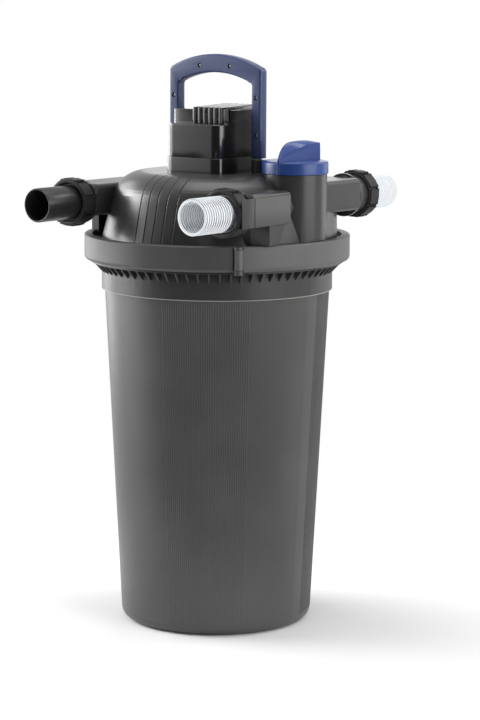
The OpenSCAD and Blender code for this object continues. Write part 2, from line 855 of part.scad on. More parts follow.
// Lamp ballast board with its coil and capacitors
module ballast_board() {
    color("#2f5d3a") difference() {
        union() {
            translate([-42, -49, board_z]) cube([79, 90, board_t]);
            translate([-28, -30, board_z + 1.5]) cube([30, 26, 16]);
            for (y = [5, 24]) translate([16, y, board_z + 1.5]) cylinder(r = 7, h = 15);
        }
        board_posts() cylinder(r = 2.2, h = 90, $fn = 32);
    }
}

// Screws that hold the board on its posts
module board_screws() {
    color(steel_grey) board_posts() {
        translate([0, 0, 34]) cylinder(r = 2, h = 12, $fn = 32);
        translate([0, 0, 44.9]) cylinder(r = 3.8, h = 2.6, $fn = 32);
    }
}

// Socket that holds the lamp and presses on the sleeve flange
module lamp_socket() {
    color("#d9d4c6") difference() {
        translate([0, 0, dome_top + 8.4]) cylinder(r = sleeve_flange_r, h = 22);
        translate([0, 0, dome_top + 8]) cylinder(r = lamp_cap_r + 0.5, h = 12);
    }
}

// Twin-tube lamp with its cap
module uv_lamp() {
    color("#e8eef2") {
        for (x = [-lamp_x, lamp_x]) {
            translate([x, 0, lamp_z0]) cylinder(r = lamp_r, h = dome_top - 8 - lamp_z0);
            translate([x, 0, lamp_z0]) sphere(lamp_r);
        }
        translate([-lamp_x, 0, lamp_z0 + 6]) rotate([0, 90, 0]) cylinder(r = 4, h = 2 * lamp_x);
        translate([0, 0, dome_top - 10]) cylinder(r = lamp_cap_r, h = 29);
    }
}

// Quartz sleeve, closed at the bottom and flanged at the top
module quartz_sleeve() {
    color("#dfeaf0") difference() {
        union() {
            translate([0, 0, lamp_z0 - 20]) cylinder(r = sleeve_r, h = dome_top + 8 - lamp_z0 + 20);
            translate([0, 0, lamp_z0 - 20]) sphere(sleeve_r);
            translate([0, 0, dome_top + 5]) cylinder(r = sleeve_flange_r, h = 3);
        }
        translate([0, 0, lamp_z0 - 20]) cylinder(r = sleeve_r - sleeve_wall, h = 500);
        translate([0, 0, lamp_z0 - 20]) sphere(sleeve_r - sleeve_wall);
    }
}

module sleeve_seal() { color(seal_black) tube(24.8, sleeve_r + 0.05, dome_top - 17, dome_top - 13.1); }
module sleeve_nut() { color(lid_black) tube(24.9, sleeve_r + 0.6, dome_top - 23, dome_top - 17.1); }

// Tube that leads the water along the lamp
module flow_tube() {
    color("#3a3a3c") {
        tube(36, 33.7, lamp_z0 - 60, dome_top - 18);
        tube(39, 35, dome_top - 23, dome_top - 18.1);
    }
}

// Upright slot with an arched top, half width w from height z0, whose two top corners are rounded
module arch_plan(w, z0, r, corner_r) {
    cx = w - corner_r;
    cz = sqrt(pow(r - corner_r, 2) - pow(cx, 2));
    reach = 3 * corner_r;
    difference() {
        intersection() {
            translate([-w, z0]) square([2 * w, 220]);
            translate([0, arch_z]) circle(r, $fn = 180);
        }
        for (side = [0, 1]) mirror([side, 0]) translate([cx, arch_z + cz]) polygon([
            [0, 0], [reach, 0], [reach, reach],
            [reach * cx / (r - corner_r), reach * cz / (r - corner_r)]
        ]);
    }
    for (side = [-1, 1]) translate([side * cx, arch_z + cz]) circle(corner_r);
}

// Outline of the handle in its own plane, X and height
module handle_outline() {
    difference() {
        arch_plan(handle_x, leg_z0, arch_r, shoulder_corner_r);
        arch_plan(handle_x - leg_w, leg_z0 - 10, arch_r - arch_t, grip_corner_r);
    }
}

// One half of the handle, side -1 in front and 1 behind
module handle_half(side) {
    translate([0, side > 0 ? handle_t / 2 : 0, 0]) rotate([90, 0, 0])
        linear_extrude(handle_t / 2) handle_outline();
}

// Channels for the pull rods inside the legs
module rod_channels() {
    for (x = [-rod_x, rod_x]) translate([x, 0, leg_z0 - eps]) cylinder(r = rod_r + running_fit, h = 18 + eps);
}

// Places a shape along +Y at every handle screw, starting on the front face
module at_handle_screws() {
    for (p = screw_spots) translate([p[0], -handle_t / 2, p[1]]) rotate([-90, 0, 0]) children();
}

module handle_front() {
    color(handle_blue) difference() {
        handle_half(-1);
        rod_channels();
        at_handle_screws() translate([0, 0, -eps]) {
            cylinder(r = screw_head_r + 0.4, h = 4 + eps, $fn = 32);
            cylinder(r = screw_r + 0.15, h = 20, $fn = 32);
        }
    }
}

module handle_rear() {
    color(handle_blue) difference() {
        handle_half(1);
        rod_channels();
        at_handle_screws() cylinder(r = screw_r + 0.05, h = handle_t - 2, $fn = 32);
    }
}

// Screws that join the two handle shells
module handle_screws() {
    color(steel_grey) at_handle_screws() {
        translate([0, 0, 1.2]) cylinder(r = screw_head_r, h = 2.7, $fn = 32);
        translate([0, 0, 3.5]) cylinder(r = screw_r, h = handle_t - 6, $fn = 32);
    }
}

// Rods from the handle legs down to the press plate
module pull_rods() {
    color(steel_grey) for (x = [-rod_x, rod_x])
        translate([x, 0, plate_z0 - 12]) cylinder(r = rod_r, h = leg_z0 + 17 - plate_z0 + 12);
}

module rod_nuts() {
    color(steel_grey) for (x = [-rod_x, rod_x]) translate([x, 0, plate_z0 - 9]) difference() {
        cylinder(r = 9.5, h = 8.8, $fn = 6);
        translate([0, 0, -eps]) cylinder(r = rod_r + running_fit, h = 10);
    }
}

module rod_bushes() {
    color("#c9c4b4") for (x = [-rod_x, rod_x])
        translate([x, 0, 0]) tube(boss_r - 3.05, rod_r + 0.06, dome_top - 4, boss_top);
}

module rod_seals() {
    color(seal_black) for (x = [-rod_x, rod_x])
        translate([x, 0, 0]) tube(boss_r - 3.05, rod_r + 0.08, dome_top - 10, dome_top - 4.2);
}

// Perforated plate on the container ledge that holds the foam down
module top_plate() {
    color("#38383a") difference() {
        tube(collar_in_r - 0.6, tube_r + 0.3, ledge_z, ledge_z + 6);
        for (x = [-rod_x, rod_x]) translate([x, 0, ledge_z - eps]) cylinder(r = rod_r + 1, h = 10);
        for (a = [0:30:330]) rotate([0, 0, a]) translate([92, -9, ledge_z - eps]) cube([36, 18, 10]);
    }
}

// Plate under the foam that the rods pull up
module press_plate() {
    color("#38383a") difference() {
        tube(foam_r - 1, tube_r + 1.5, plate_z0, plate_z0 + plate_t);
        for (x = [-rod_x, rod_x]) translate([x, 0, plate_z0 - eps]) cylinder(r = rod_r + running_fit, h = 20);
        for (a = [15:30:345]) rotate([0, 0, a]) translate([90, -8, plate_z0 - eps]) cube([26, 16, 20]);
    }
}

// Slotted tube in the middle of the foam stack
module centre_tube() {
    slot_h = 24;
    color("#38383a") difference() {
        union() {
            tube(tube_r, tube_r - 3, plate_z0 - 6, ledge_z + 9);
            tube(tube_r + 8, tube_r - 1, ledge_z + 6.1, ledge_z + 9);
        }
        for (z = [plate_z0 + 20:40:ledge_z - 40], a = [0:45:135])
            rotate([0, 0, a]) translate([-60, -4, z]) cube([120, 8, slot_h]);
    }
}

// One ring of filter foam, counted from the bottom
module foam_ring(i) {
    z0 = foam_z0 + (i - 1) * foam_pitch;
    difference() {
        tube(foam_r, tube_r + 1, z0, z0 + foam_pitch - foam_gap);
        for (x = [-rod_x, rod_x]) translate([x, 0, z0 - eps]) cylinder(r = rod_r + 1.5, h = foam_pitch + 1);
    }
}

coarse_blue = "#5b7fae";
fine_red = "#a8503c";
module foam_ring_1() { color(coarse_blue) foam_ring(1); }
module foam_ring_2() { color(fine_red) foam_ring(2); }
module foam_ring_3() { color(coarse_blue) foam_ring(3); }
module foam_ring_4() { color(fine_red) foam_ring(4); }
module foam_ring_5() { color(coarse_blue) foam_ring(5); }
module foam_ring_6() { color(fine_red) foam_ring(6); }

container();
lid_seal();
clamp_fixed_half();
clamp_swing_half();
clamp_hinge_pin();
latch_lever();
latch_pin();
lid();
inlet_gasket();
inlet_tail();
inlet_nut();
drain_gasket();
drain_tail();
drain_nut();
outlet_gasket();
outlet_tail();
outlet_nut();
valve_rotor();
valve_seals();
valve_knob();
head_base();
head_housing();
head_cover();
cable_gland();
ballast_board();
board_screws();
lamp_socket();
uv_lamp();
quartz_sleeve();
sleeve_seal();
sleeve_nut();
flow_tube();
handle_front();
handle_rear();
handle_screws();
pull_rods();
rod_nuts();
rod_bushes();
rod_seals();
top_plate();
press_plate();
centre_tube();
foam_ring_1();
foam_ring_2();
foam_ring_3();
foam_ring_4();
foam_ring_5();
foam_ring_6();
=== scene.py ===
import json
import math

import bmesh
import bpy
from mathutils import Matrix, Vector


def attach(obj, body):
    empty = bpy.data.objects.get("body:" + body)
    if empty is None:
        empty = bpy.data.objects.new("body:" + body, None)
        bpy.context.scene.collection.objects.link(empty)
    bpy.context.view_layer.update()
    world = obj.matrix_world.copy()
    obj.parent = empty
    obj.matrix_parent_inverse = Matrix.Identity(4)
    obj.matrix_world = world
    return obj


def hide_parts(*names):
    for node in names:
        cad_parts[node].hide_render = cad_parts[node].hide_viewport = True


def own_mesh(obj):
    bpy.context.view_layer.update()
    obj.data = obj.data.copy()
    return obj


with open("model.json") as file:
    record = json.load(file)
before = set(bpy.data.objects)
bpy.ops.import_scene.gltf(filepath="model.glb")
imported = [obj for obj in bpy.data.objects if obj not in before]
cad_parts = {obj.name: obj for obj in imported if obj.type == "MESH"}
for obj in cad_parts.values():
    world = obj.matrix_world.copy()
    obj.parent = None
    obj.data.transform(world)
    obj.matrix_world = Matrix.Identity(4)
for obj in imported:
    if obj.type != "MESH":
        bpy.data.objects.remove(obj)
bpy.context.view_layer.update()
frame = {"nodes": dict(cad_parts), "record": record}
nodes = frame["nodes"]

MM = 0.001
CREST = "crest"

# Sizes shared by several pieces, in millimetres
PORT_X = 137
PORT_Z = 609
OUTLET_Z = 616
OUTLET_BACK = 6.6
DOME_TOP = 651
ROD_X = 73.65
TAIL_END = 233.8
OUTLET_END = 228.4
HANDLE_HALF, HANDLE_LEG, HANDLE_THICK = 82.3, 17.3, 8
BORE_SWELL = 0.7
KNOB_R = 46.7
FIN_NOSE, FIN_BACK, FIN_KEEL = -KNOB_R, 37.7, -3

# Flange of a hose tail under its nut, as (radius, height) steps, and the neck above it
FLANGE_LOW, FLANGE_TOP, NECK = 160.4, 164.8, 165.6
TAIL_FLANGE = [(28.4, FLANGE_LOW), (28.8, 160.8), (28.8, 164.4), (28.4, FLANGE_TOP)]


# Bench work: small steps that every piece uses

def clear_bench():
    """Leaves nothing selected, so that the next step meets only the new piece."""
    if bpy.context.object and bpy.context.object.mode != "OBJECT":
        bpy.ops.object.mode_set(mode="OBJECT")
    bpy.ops.object.select_all(action="DESELECT")


def take(*pieces):
    """Selects these pieces alone, the first of them active."""
    clear_bench()
    for piece in pieces:
        piece.select_set(True)
    bpy.context.view_layer.objects.active = pieces[0]


def open_mesh(kind="FACE"):
    """Opens the active piece in edit mode with nothing selected."""
    bpy.ops.object.mode_set(mode="EDIT")
    bpy.ops.mesh.select_mode(type=kind)
    bpy.ops.mesh.select_all(action="DESELECT")


def close_mesh():
    """Goes back from edit mode to the whole piece."""
    bpy.ops.object.mode_set(mode="OBJECT")


def settle():
    """Keeps the place, turn and size of the active piece in its mesh."""
    bpy.ops.object.transform_apply(location=True, rotation=True, scale=True)


def middle(part):
    """Middle of a corner, edge or face."""
    if isinstance(part, bmesh.types.BMVert):
        return part.co
    return sum((v.co for v in part.verts), Vector()) / len(part.verts)


def pick(kind, wanted):
    """Selects what a rule names in the open mesh; the rule reads millimetres."""
    bpy.ops.mesh.select_mode(type=kind)
    bpy.ops.mesh.select_all(action="DESELECT")
    mesh = bmesh.from_edit_mesh(bpy.context.object.data)
    for part in {"VERT": mesh.verts, "EDGE": mesh.edges, "FACE": mesh.faces}[kind]:
        if wanted(middle(part) / MM, part):
            part.select_set(True)
    mesh.select_flush_mode()
    bmesh.update_edit_mesh(bpy.context.object.data)


def block(low, high):
    """A box between two corners given in millimetres."""
    clear_bench()
    size = [b - a for a, b in zip(low, high)]
    centre = [(a + b) / 2 * MM for a, b in zip(low, high)]
    bpy.ops.mesh.primitive_cube_add(size=1, location=centre)
    piece = bpy.context.object
    piece.scale = [s * MM for s in size]
    settle()
    return piece


def drum(radius, low, high, place=(0, 0), sides=96):
    """An upright round bar, sizes in millimetres."""
    clear_bench()
    centre = (place[0] * MM, place[1] * MM, (low + high) / 2 * MM)
    bpy.ops.mesh.primitive_cylinder_add(
        vertices=sides, radius=radius * MM, depth=(high - low) * MM, location=centre
    )
    settle()
    return bpy.context.object


def lying_drum(radius, y_low, y_high, x, z, sides):
    """A round bar that lies from front to back, sizes in millimetres."""
    clear_bench()
    bpy.ops.mesh.primitive_cylinder_add(
        vertices=sides, radius=radius * MM, depth=(y_high - y_low) * MM,
        location=(x * MM, (y_low + y_high) / 2 * MM, z * MM), rotation=(math.radians(90), 0, 0),
    )
    settle()
    return bpy.context.object


def turned(steps, sides=96):
    """A body of revolution about Z, drawn up ring by ring from (radius, height) steps."""
    clear_bench()
    r, h = steps[0]
    bpy.ops.mesh.primitive_circle_add(vertices=sides, radius=r * MM, location=(0, 0, h * MM))
    settle()
    open_mesh("EDGE")
    bpy.ops.mesh.select_all(action="SELECT")
    for next_r, next_h in steps[1:]:
        bpy.ops.mesh.extrude_edges_move(
            TRANSFORM_OT_translate={"value": (0, 0, (next_h - h) * MM)}
        )
        bpy.ops.transform.resize(
            value=(next_r / r, next_r / r, 1), center_override=(0, 0, next_h * MM)
        )
        r, h = next_r, next_h
    bpy.ops.mesh.select_all(action="SELECT")
    bpy.ops.mesh.remove_doubles(threshold=1e-6)
    bpy.ops.mesh.normals_make_consistent(inside=False)
    close_mesh()
    return bpy.context.object


def cap_rims():
    """Closes the open rims of the active piece with flat faces."""
    open_mesh("EDGE")
    bpy.ops.mesh.select_non_manifold()
    bpy.ops.mesh.edge_face_add()
    bpy.ops.mesh.select_all(action="SELECT")
    bpy.ops.mesh.normals_make_consistent(inside=False)
    close_mesh()


def round_edges(width, rounds, wanted, clamp=True):
    """Bevels the edges of the active piece that a rule names."""
    open_mesh("EDGE")
    pick("EDGE", wanted)
    bpy.ops.mesh.bevel(offset=width * MM, segments=rounds, affect="EDGES", clamp_overlap=clamp)
    close_mesh()


def edge_line(edge):
    """Direction of an edge."""
    a, b = (v.co for v in edge.verts)
    return (a - b).normalized()


def upright(place, edge):
    """Rule: edges that run up and down."""
    return abs(edge_line(edge).z) > 0.99


def along_y(place, edge):
    """Rule: edges that run from front to back."""
    return abs(edge_line(edge).y) > 0.99


def repeat_round(copies, angle):
    """Repeats the whole open mesh about Z, spread over an angle in degrees."""
    bpy.ops.mesh.select_all(action="SELECT")
    bpy.ops.mesh.spin(
        steps=copies, dupli=True, angle=math.radians(angle), center=(0, 0, 0), axis=(0, 0, 1)
    )


def combine(piece, tool, how):
    """Joins a tool to a piece, or cuts it out of it, and takes the tool away."""
    take(piece)
    step = piece.modifiers.new("cut", "BOOLEAN")
    step.operation = how
    step.object = tool
    step.solver = "EXACT"
    bpy.ops.object.modifier_apply(modifier=step.name)
    bpy.data.objects.remove(tool)
    return piece


def soften(piece, width, rounds=2, angle=30):
    """Breaks every sharp edge of a piece, as a mould does."""
    take(piece)
    step = piece.modifiers.new("soft_edges", "BEVEL")
    step.width = width * MM
    step.segments = rounds
    step.limit_method = "ANGLE"
    step.angle_limit = math.radians(angle)
    bpy.ops.object.modifier_apply(modifier=step.name)
    return piece


def turn_piece(piece, angle, axis):
    """Turns a whole piece about the origin and keeps the turn in its mesh."""
    take(piece)
    piece.matrix_world = Matrix.Rotation(math.radians(angle), 4, axis) @ piece.matrix_world
    settle()


def shift_piece(piece, x, y, z):
    """Moves a whole piece by millimetres."""
    take(piece)
    piece.location = Vector((x, y, z)) * MM
    settle()


def copy_piece(piece):
    """A copy with a mesh of its own."""
    clear_bench()
    twin = piece.copy()
    twin.data = piece.data.copy()
    bpy.context.scene.collection.objects.link(twin)
    return twin


def weld_together(pieces):
    """Makes one piece of several."""
    take(*pieces)
    bpy.ops.object.join()
    return bpy.context.object


def hand_over(piece, name, body, finish, stands_for=(), angle=35):
    """Names a finished piece, gives it its finish and puts it on its body."""
    take(piece)
    settle()
    bpy.ops.object.shade_smooth_by_angle(angle=math.radians(angle))
    piece.name = piece.data.name = name
    piece.data.materials.clear()
    piece.data.materials.append(finish)
    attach(piece, body)
    if stands_for:
        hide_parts(*stands_for)
    return piece


# Finishes

def new_finish(name):
    """An empty finish: its nodes and the shader that they feed."""
    finish = bpy.data.materials.new(name)
    finish.use_nodes = True
    tree = finish.node_tree
    tree.nodes.clear()
    out = tree.nodes.new("ShaderNodeOutputMaterial")
    skin = tree.nodes.new("ShaderNodeBsdfPrincipled")
    tree.links.new(skin.outputs["BSDF"], out.inputs["Surface"])
    return finish, tree, skin


def noise(tree, where, scale, detail=3.0):
    """Cloudy pattern with a value from 0 to 1."""
    speck = tree.nodes.new("ShaderNodeTexNoise")
    speck.inputs["Scale"].default_value = scale
    speck.inputs["Detail"].default_value = detail
    tree.links.new(where, speck.inputs["Vector"])
    return speck.outputs["Fac"]


def spread(tree, value, low, high):
    """Stretches the middle range of a noise to run from low to high."""
    lane = tree.nodes.new("ShaderNodeMapRange")
    lane.inputs["From Min"].default_value = 0.3
    lane.inputs["From Max"].default_value = 0.7
    lane.inputs["To Min"].default_value = low
    lane.inputs["To Max"].default_value = high
    tree.links.new(value, lane.inputs["Value"])
    return lane.outputs["Result"]


def two_tones(tree, value, dark, light):
    """Colour that goes from dark to light with a value."""
    ramp = tree.nodes.new("ShaderNodeValToRGB")
    ramp.color_ramp.elements[0].position = 0.32
    ramp.color_ramp.elements[0].color = (*dark, 1)
    ramp.color_ramp.elements[1].position = 0.68
    ramp.color_ramp.elements[1].color = (*light, 1)
    tree.links.new(value, ramp.inputs["Fac"])
    return ramp.outputs["Color"]


def surface_relief(tree, skin, height, strength, depth, edge=0.0):
    """Fine relief of a surface, depth in millimetres, with softened edges where asked."""
    relief = tree.nodes.new("ShaderNodeBump")
    relief.inputs["Strength"].default_value = strength
    relief.inputs["Distance"].default_value = depth * MM
    tree.links.new(height, relief.inputs["Height"])
    if edge:
        rounding = tree.nodes.new("ShaderNodeBevel")
        rounding.samples = 4
        rounding.inputs["Radius"].default_value = edge * MM
        tree.links.new(rounding.outputs["Normal"], relief.inputs["Normal"])
    tree.links.new(relief.outputs["Normal"], skin.inputs["Normal"])


def joined(tree, first, second, how):
    """Two values made one by a sum of the given kind."""
    step = tree.nodes.new("ShaderNodeMath")
    step.operation = how
    tree.links.new(first, step.inputs[0])
    tree.links.new(second, step.inputs[1])
    return step.outputs[0]


def lane_between(tree, value, start, end, low, high):
    """Turns a value that runs from start to end into one that runs from low to high."""
    lane = tree.nodes.new("ShaderNodeMapRange")
    lane.interpolation_type = "SMOOTHSTEP"
    for socket, number in (
        ("From Min", start), ("From Max", end), ("To Min", low), ("To Max", high)
    ):
        lane.inputs[socket].default_value = number
    tree.links.new(value, lane.inputs["Value"])
    return lane.outputs["Result"]


def object_place(tree):
    """Place on the piece, in metres."""
    return tree.nodes.new("ShaderNodeTexCoord").outputs["Object"]


def place_along(tree, axis):
    """Place on the piece along one axis, in metres."""
    apart = tree.nodes.new("ShaderNodeSeparateXYZ")
    tree.links.new(object_place(tree), apart.inputs[0])
    return apart.outputs[axis]


def moulded(name, colour, rough, grain=1400, depth=0.05, edge=0.0, drift=0.12, shine=0.5):
    """Injection-moulded plastic: fine spark-eroded grain, slight clouding and uneven gloss."""
    uneven = 0.012
    finish, tree, skin = new_finish(name)
    place = object_place(tree)
    cloud = noise(tree, place, 11, 4)
    dark = [c * (1 - drift) for c in colour]
    light = [c * (1 + drift) for c in colour]
    tree.links.new(two_tones(tree, cloud, dark, light), skin.inputs["Base Color"])
    gloss = noise(tree, place, 30, 2)
    tree.links.new(spread(tree, gloss, rough - uneven, rough + uneven), skin.inputs["Roughness"])
    skin.inputs["Specular IOR Level"].default_value = shine
    surface_relief(tree, skin, noise(tree, place, grain, 2), 0.25, depth, edge)
    return finish


def vessel_plastic(name):
    """Grey plastic of the container, with painted shade: its straight collar under the ring is
    coloured darker.
    """
    collar_low, collar_high, collar_painted_shade = 483 * MM, 486 * MM, 0.55
    finish = moulded(name, (0.064, 0.063, 0.062), 0.37, edge=1.2)
    tree = finish.node_tree
    skin = tree.nodes["Principled BSDF"]
    shade = tree.nodes.new("ShaderNodeVectorMath")
    shade.operation = "SCALE"
    tree.links.new(skin.inputs["Base Color"].links[0].from_socket, shade.inputs[0])
    # Painted shade: the base colour is scaled down on the collar, where the ring's overhang
    # shades it.
    level = lane_between(
        tree, place_along(tree, "Z"), collar_low, collar_high, 1.0, collar_painted_shade
    )
    tree.links.new(level, shade.inputs["Scale"])
    tree.links.new(shade.outputs["Vector"], skin.inputs["Base Color"])
    return finish


def head_plastic(name):
    """Polished black plastic of the head, duller on the flat of its right wall."""
    wall_start, wall_flat = 45.78 * MM, 45.99 * MM
    finish = moulded(name, (0.009, 0.009, 0.010), 0.20, depth=0.03, edge=0.6)
    tree = finish.node_tree
    skin = tree.nodes["Principled BSDF"]
    skin.inputs["Coat Roughness"].default_value = 0.12
    across = place_along(tree, "X")
    for socket, front, side in (("Specular IOR Level", 0.5, 0.14), ("Coat Weight", 0.7, 0.0)):
        level = lane_between(tree, across, wall_start, wall_flat, front, side)
        tree.links.new(level, skin.inputs[socket])
    return finish


def rubber(name, colour):
    """Dull seal rubber with a faint bloom."""
    finish, tree, skin = new_finish(name)
    place = object_place(tree)
    bloom = noise(tree, place, 90, 6)
    tree.links.new(
        two_tones(tree, bloom, [c * 0.7 for c in colour], [c * 1.6 for c in colour]),
        skin.inputs["Base Color"],
    )
    tree.links.new(spread(tree, bloom, 0.62, 0.8), skin.inputs["Roughness"])
    surface_relief(tree, skin, noise(tree, place, 2600, 2), 0.3, 0.05)
    return finish


def drawn_steel(name):
    """Steel with fine lines along its length."""
    finish, tree, skin = new_finish(name)
    skin.inputs["Metallic"].default_value = 1.0
    stretch = tree.nodes.new("ShaderNodeMapping")
    stretch.inputs["Scale"].default_value = (1, 1, 0.06)
    tree.links.new(object_place(tree), stretch.inputs["Vector"])
    lines = noise(tree, stretch.outputs["Vector"], 2200, 3)
    tree.links.new(
        two_tones(tree, lines, (0.42, 0.42, 0.43), (0.66, 0.66, 0.67)),
        skin.inputs["Base Color"],
    )
    tree.links.new(spread(tree, lines, 0.18, 0.34), skin.inputs["Roughness"])
    surface_relief(tree, skin, lines, 0.2, 0.02)
    return finish


def clear(name, dark, light, rough, ior, waves):
    """Clear drawn wall with faint flow lines."""
    finish, tree, skin = new_finish(name)
    skin.inputs["Transmission Weight"].default_value = 1.0
    skin.inputs["IOR"].default_value = ior
    skin.inputs["Roughness"].default_value = rough
    flow = noise(tree, object_place(tree), waves, 3)
    tree.links.new(two_tones(tree, flow, dark, light), skin.inputs["Base Color"])
    surface_relief(tree, skin, flow, 0.12, 0.4)
    return finish


def ringed_clear(name, dark, light, hollow, crown, glow=0.0):
    """Thin clear plastic: the crests of its thread are painted pale as highlights and its hollows
    dark as shade, and the hollows let the eye through.

    The glow is painted light, standing in for light that comes through the wall from behind.
    """
    finish, tree, skin = new_finish(name)
    skin.inputs["IOR"].default_value = 1.49
    crest = tree.nodes.new("ShaderNodeAttribute")
    crest.attribute_name = CREST
    flow = noise(tree, object_place(tree), 35, 3)
    # Painted highlight on the thread's crests, painted shade in its hollows.
    tree.links.new(
        two_tones(tree, crest.outputs["Fac"], dark, light), skin.inputs["Base Color"]
    )
    tree.links.new(spread(tree, flow, 0.10, 0.18), skin.inputs["Roughness"])
    opacity = lane_between(tree, crest.outputs["Fac"], 0.1, 0.9, hollow, crown)
    tree.links.new(opacity, skin.inputs["Alpha"])
    # Painted light: the emission makes the tail glow as if lit through its wall.
    skin.inputs["Emission Color"].default_value = (0.95, 0.97, 1, 1)
    skin.inputs["Emission Strength"].default_value = glow
    return finish


def open_foam(name, dark, light):
    """Reticulated foam: round pores with paler strands between them."""
    finish, tree, skin = new_finish(name)
    place = object_place(tree)
    pores = tree.nodes.new("ShaderNodeTexVoronoi")
    pores.inputs["Scale"].default_value = 420
    tree.links.new(place, pores.inputs["Vector"])
    tree.links.new(
        two_tones(tree, pores.outputs["Distance"], light, dark), skin.inputs["Base Color"]
    )
    skin.inputs["Roughness"].default_value = 0.95
    skin.inputs["Sheen Weight"].default_value = 0.3
    surface_relief(tree, skin, pores.outputs["Distance"], 0.8, 1.2)
    return finish


def circuit_board(name):
    """Green board with paler traces under varnish."""
    finish, tree, skin = new_finish(name)
    place = object_place(tree)
    traces = tree.nodes.new("ShaderNodeTexBrick")
    traces.inputs["Scale"].default_value = 120
    traces.inputs["Color1"].default_value = (0.020, 0.085, 0.036, 1)
    traces.inputs["Color2"].default_value = (0.030, 0.110, 0.050, 1)
    traces.inputs["Mortar"].default_value = (0.060, 0.190, 0.080, 1)
    traces.inputs["Mortar Size"].default_value = 0.03
    tree.links.new(place, traces.inputs["Vector"])
    tree.links.new(traces.outputs["Color"], skin.inputs["Base Color"])
    varnish = noise(tree, place, 80, 3)
    tree.links.new(spread(tree, varnish, 0.28, 0.42), skin.inputs["Roughness"])
    surface_relief(tree, skin, traces.outputs["Fac"], 0.2, 0.05)
    return finish


container_skin = vessel_plastic("container_grey")
# Ribs lighter than the wall: painted highlight for the bright lines that the ribs catch.
rib_painted_highlight_skin = moulded("rib_grey_painted_highlight", (0.092, 0.091, 0.090), 0.38, edge=1.2)
# Pale bead colour: painted highlight along the collar's lower edge.
bead_painted_highlight_skin = moulded("bead_grey_painted_highlight", (0.27, 0.27, 0.26), 0.35)
clamp_skin = moulded("clamp_grey", (0.066, 0.066, 0.066), 0.46, edge=1.2)
# Swing half lighter than the fixed half, though the same plastic: painted light on the ring's
# right side.
swing_half_painted_light_skin = moulded("swing_half_grey_painted_light", (0.100, 0.100, 0.100), 0.46, edge=1.2)
lid_skin = moulded("lid_black", (0.036, 0.036, 0.036), 0.29, edge=1.4)
tail_skin = moulded("fitting_black", (0.020, 0.020, 0.021), 0.30, grain=900, depth=0.08)
nut_skin = moulded("nut_black", (0.024, 0.024, 0.024), 0.52, grain=900, depth=0.08, shine=0.22)
head_skin = head_plastic("head_black")
handle_skin = moulded("handle_blue", (0.031, 0.048, 0.128), 0.36)
knob_skin = moulded("knob_blue", (0.017, 0.052, 0.225), 0.34)
cage_skin = moulded("cage_plastic", (0.030, 0.030, 0.032), 0.5, edge=0.6)
bush_skin = moulded("bush_plastic", (0.52, 0.49, 0.41), 0.45, drift=0.06)
socket_skin = moulded("socket_ceramic", (0.66, 0.62, 0.53), 0.25, grain=500, drift=0.05)
seal_skin = rubber("seal_rubber", (0.012, 0.012, 0.012))
steel_skin = drawn_steel("steel")
# Dark hollow colour and pale crest colour: painted shade and highlight of the thread.
clear_skin = ringed_clear("clear_plastic", (0.34, 0.37, 0.41), (0.92, 0.94, 0.96), 0.30, 0.92)
# Outlet tail: pale only through its painted glow; its slightly darker hollows are painted shade.
painted_glow_clear_skin = ringed_clear(
    "clear_plastic_painted_glow", (0.16, 0.17, 0.18), (0.24, 0.25, 0.26), 0.7, 0.8, glow=0.60
)
quartz_skin = clear("quartz", (0.93, 0.96, 0.97), (0.98, 0.99, 1.0), 0.01, 1.46, 12)
lamp_skin = clear("lamp_glass", (0.82, 0.87, 0.93), (0.94, 0.96, 0.98), 0.18, 1.48, 20)
coarse_foam = open_foam("foam_coarse", (0.030, 0.075, 0.19), (0.12, 0.25, 0.48))
fine_foam = open_foam("foam_fine", (0.15, 0.030, 0.018), (0.46, 0.11, 0.06))
board_skin = circuit_board("board_green")

FINISH_OF_SLOT = {
    "container_grey": container_skin,
    "lid_black": lid_skin,
    "handle_blue": handle_skin,
    "knob_blue": knob_skin,
    "clear_plastic": clear_skin,
    "steel": steel_skin,
    "seal_rubber": seal_skin,
    "bush_plastic": bush_skin,
    "foam_coarse": coarse_foam,
    "foam_fine": fine_foam,
    "quartz": quartz_skin,
    "lamp_glass": lamp_skin,
    "socket_ceramic": socket_skin,
    "board_green": board_skin,
    "cage_plastic": cage_skin,
}


def finish_of(node, slot):
    """Finish of a solid: that of its slot, or one of its own."""
    if node.startswith("head") or node == "cable_gland":
        return head_skin
    if node == "clamp_fixed_half":
        return clamp_skin
    # The swing half takes the lighter copy of the clamp plastic: painted light.
    if node == "clamp_swing_half":
        return swing_half_painted_light_skin
    if slot == "lid_black" and node.endswith("_nut"):
        return nut_skin
    if slot == "lid_black" and node.endswith("_tail"):
        return tail_skin
    return FINISH_OF_SLOT[slot]


def paint_nodes():
    """Gives every solid its finish, also those that a better piece then stands for."""
    for part in frame["record"]["subparts"]:
        solid = nodes[part["node"]]
        solid.data.materials.clear()
        solid.data.materials.append(finish_of(part["node"], part["material_slot"]))


# Container

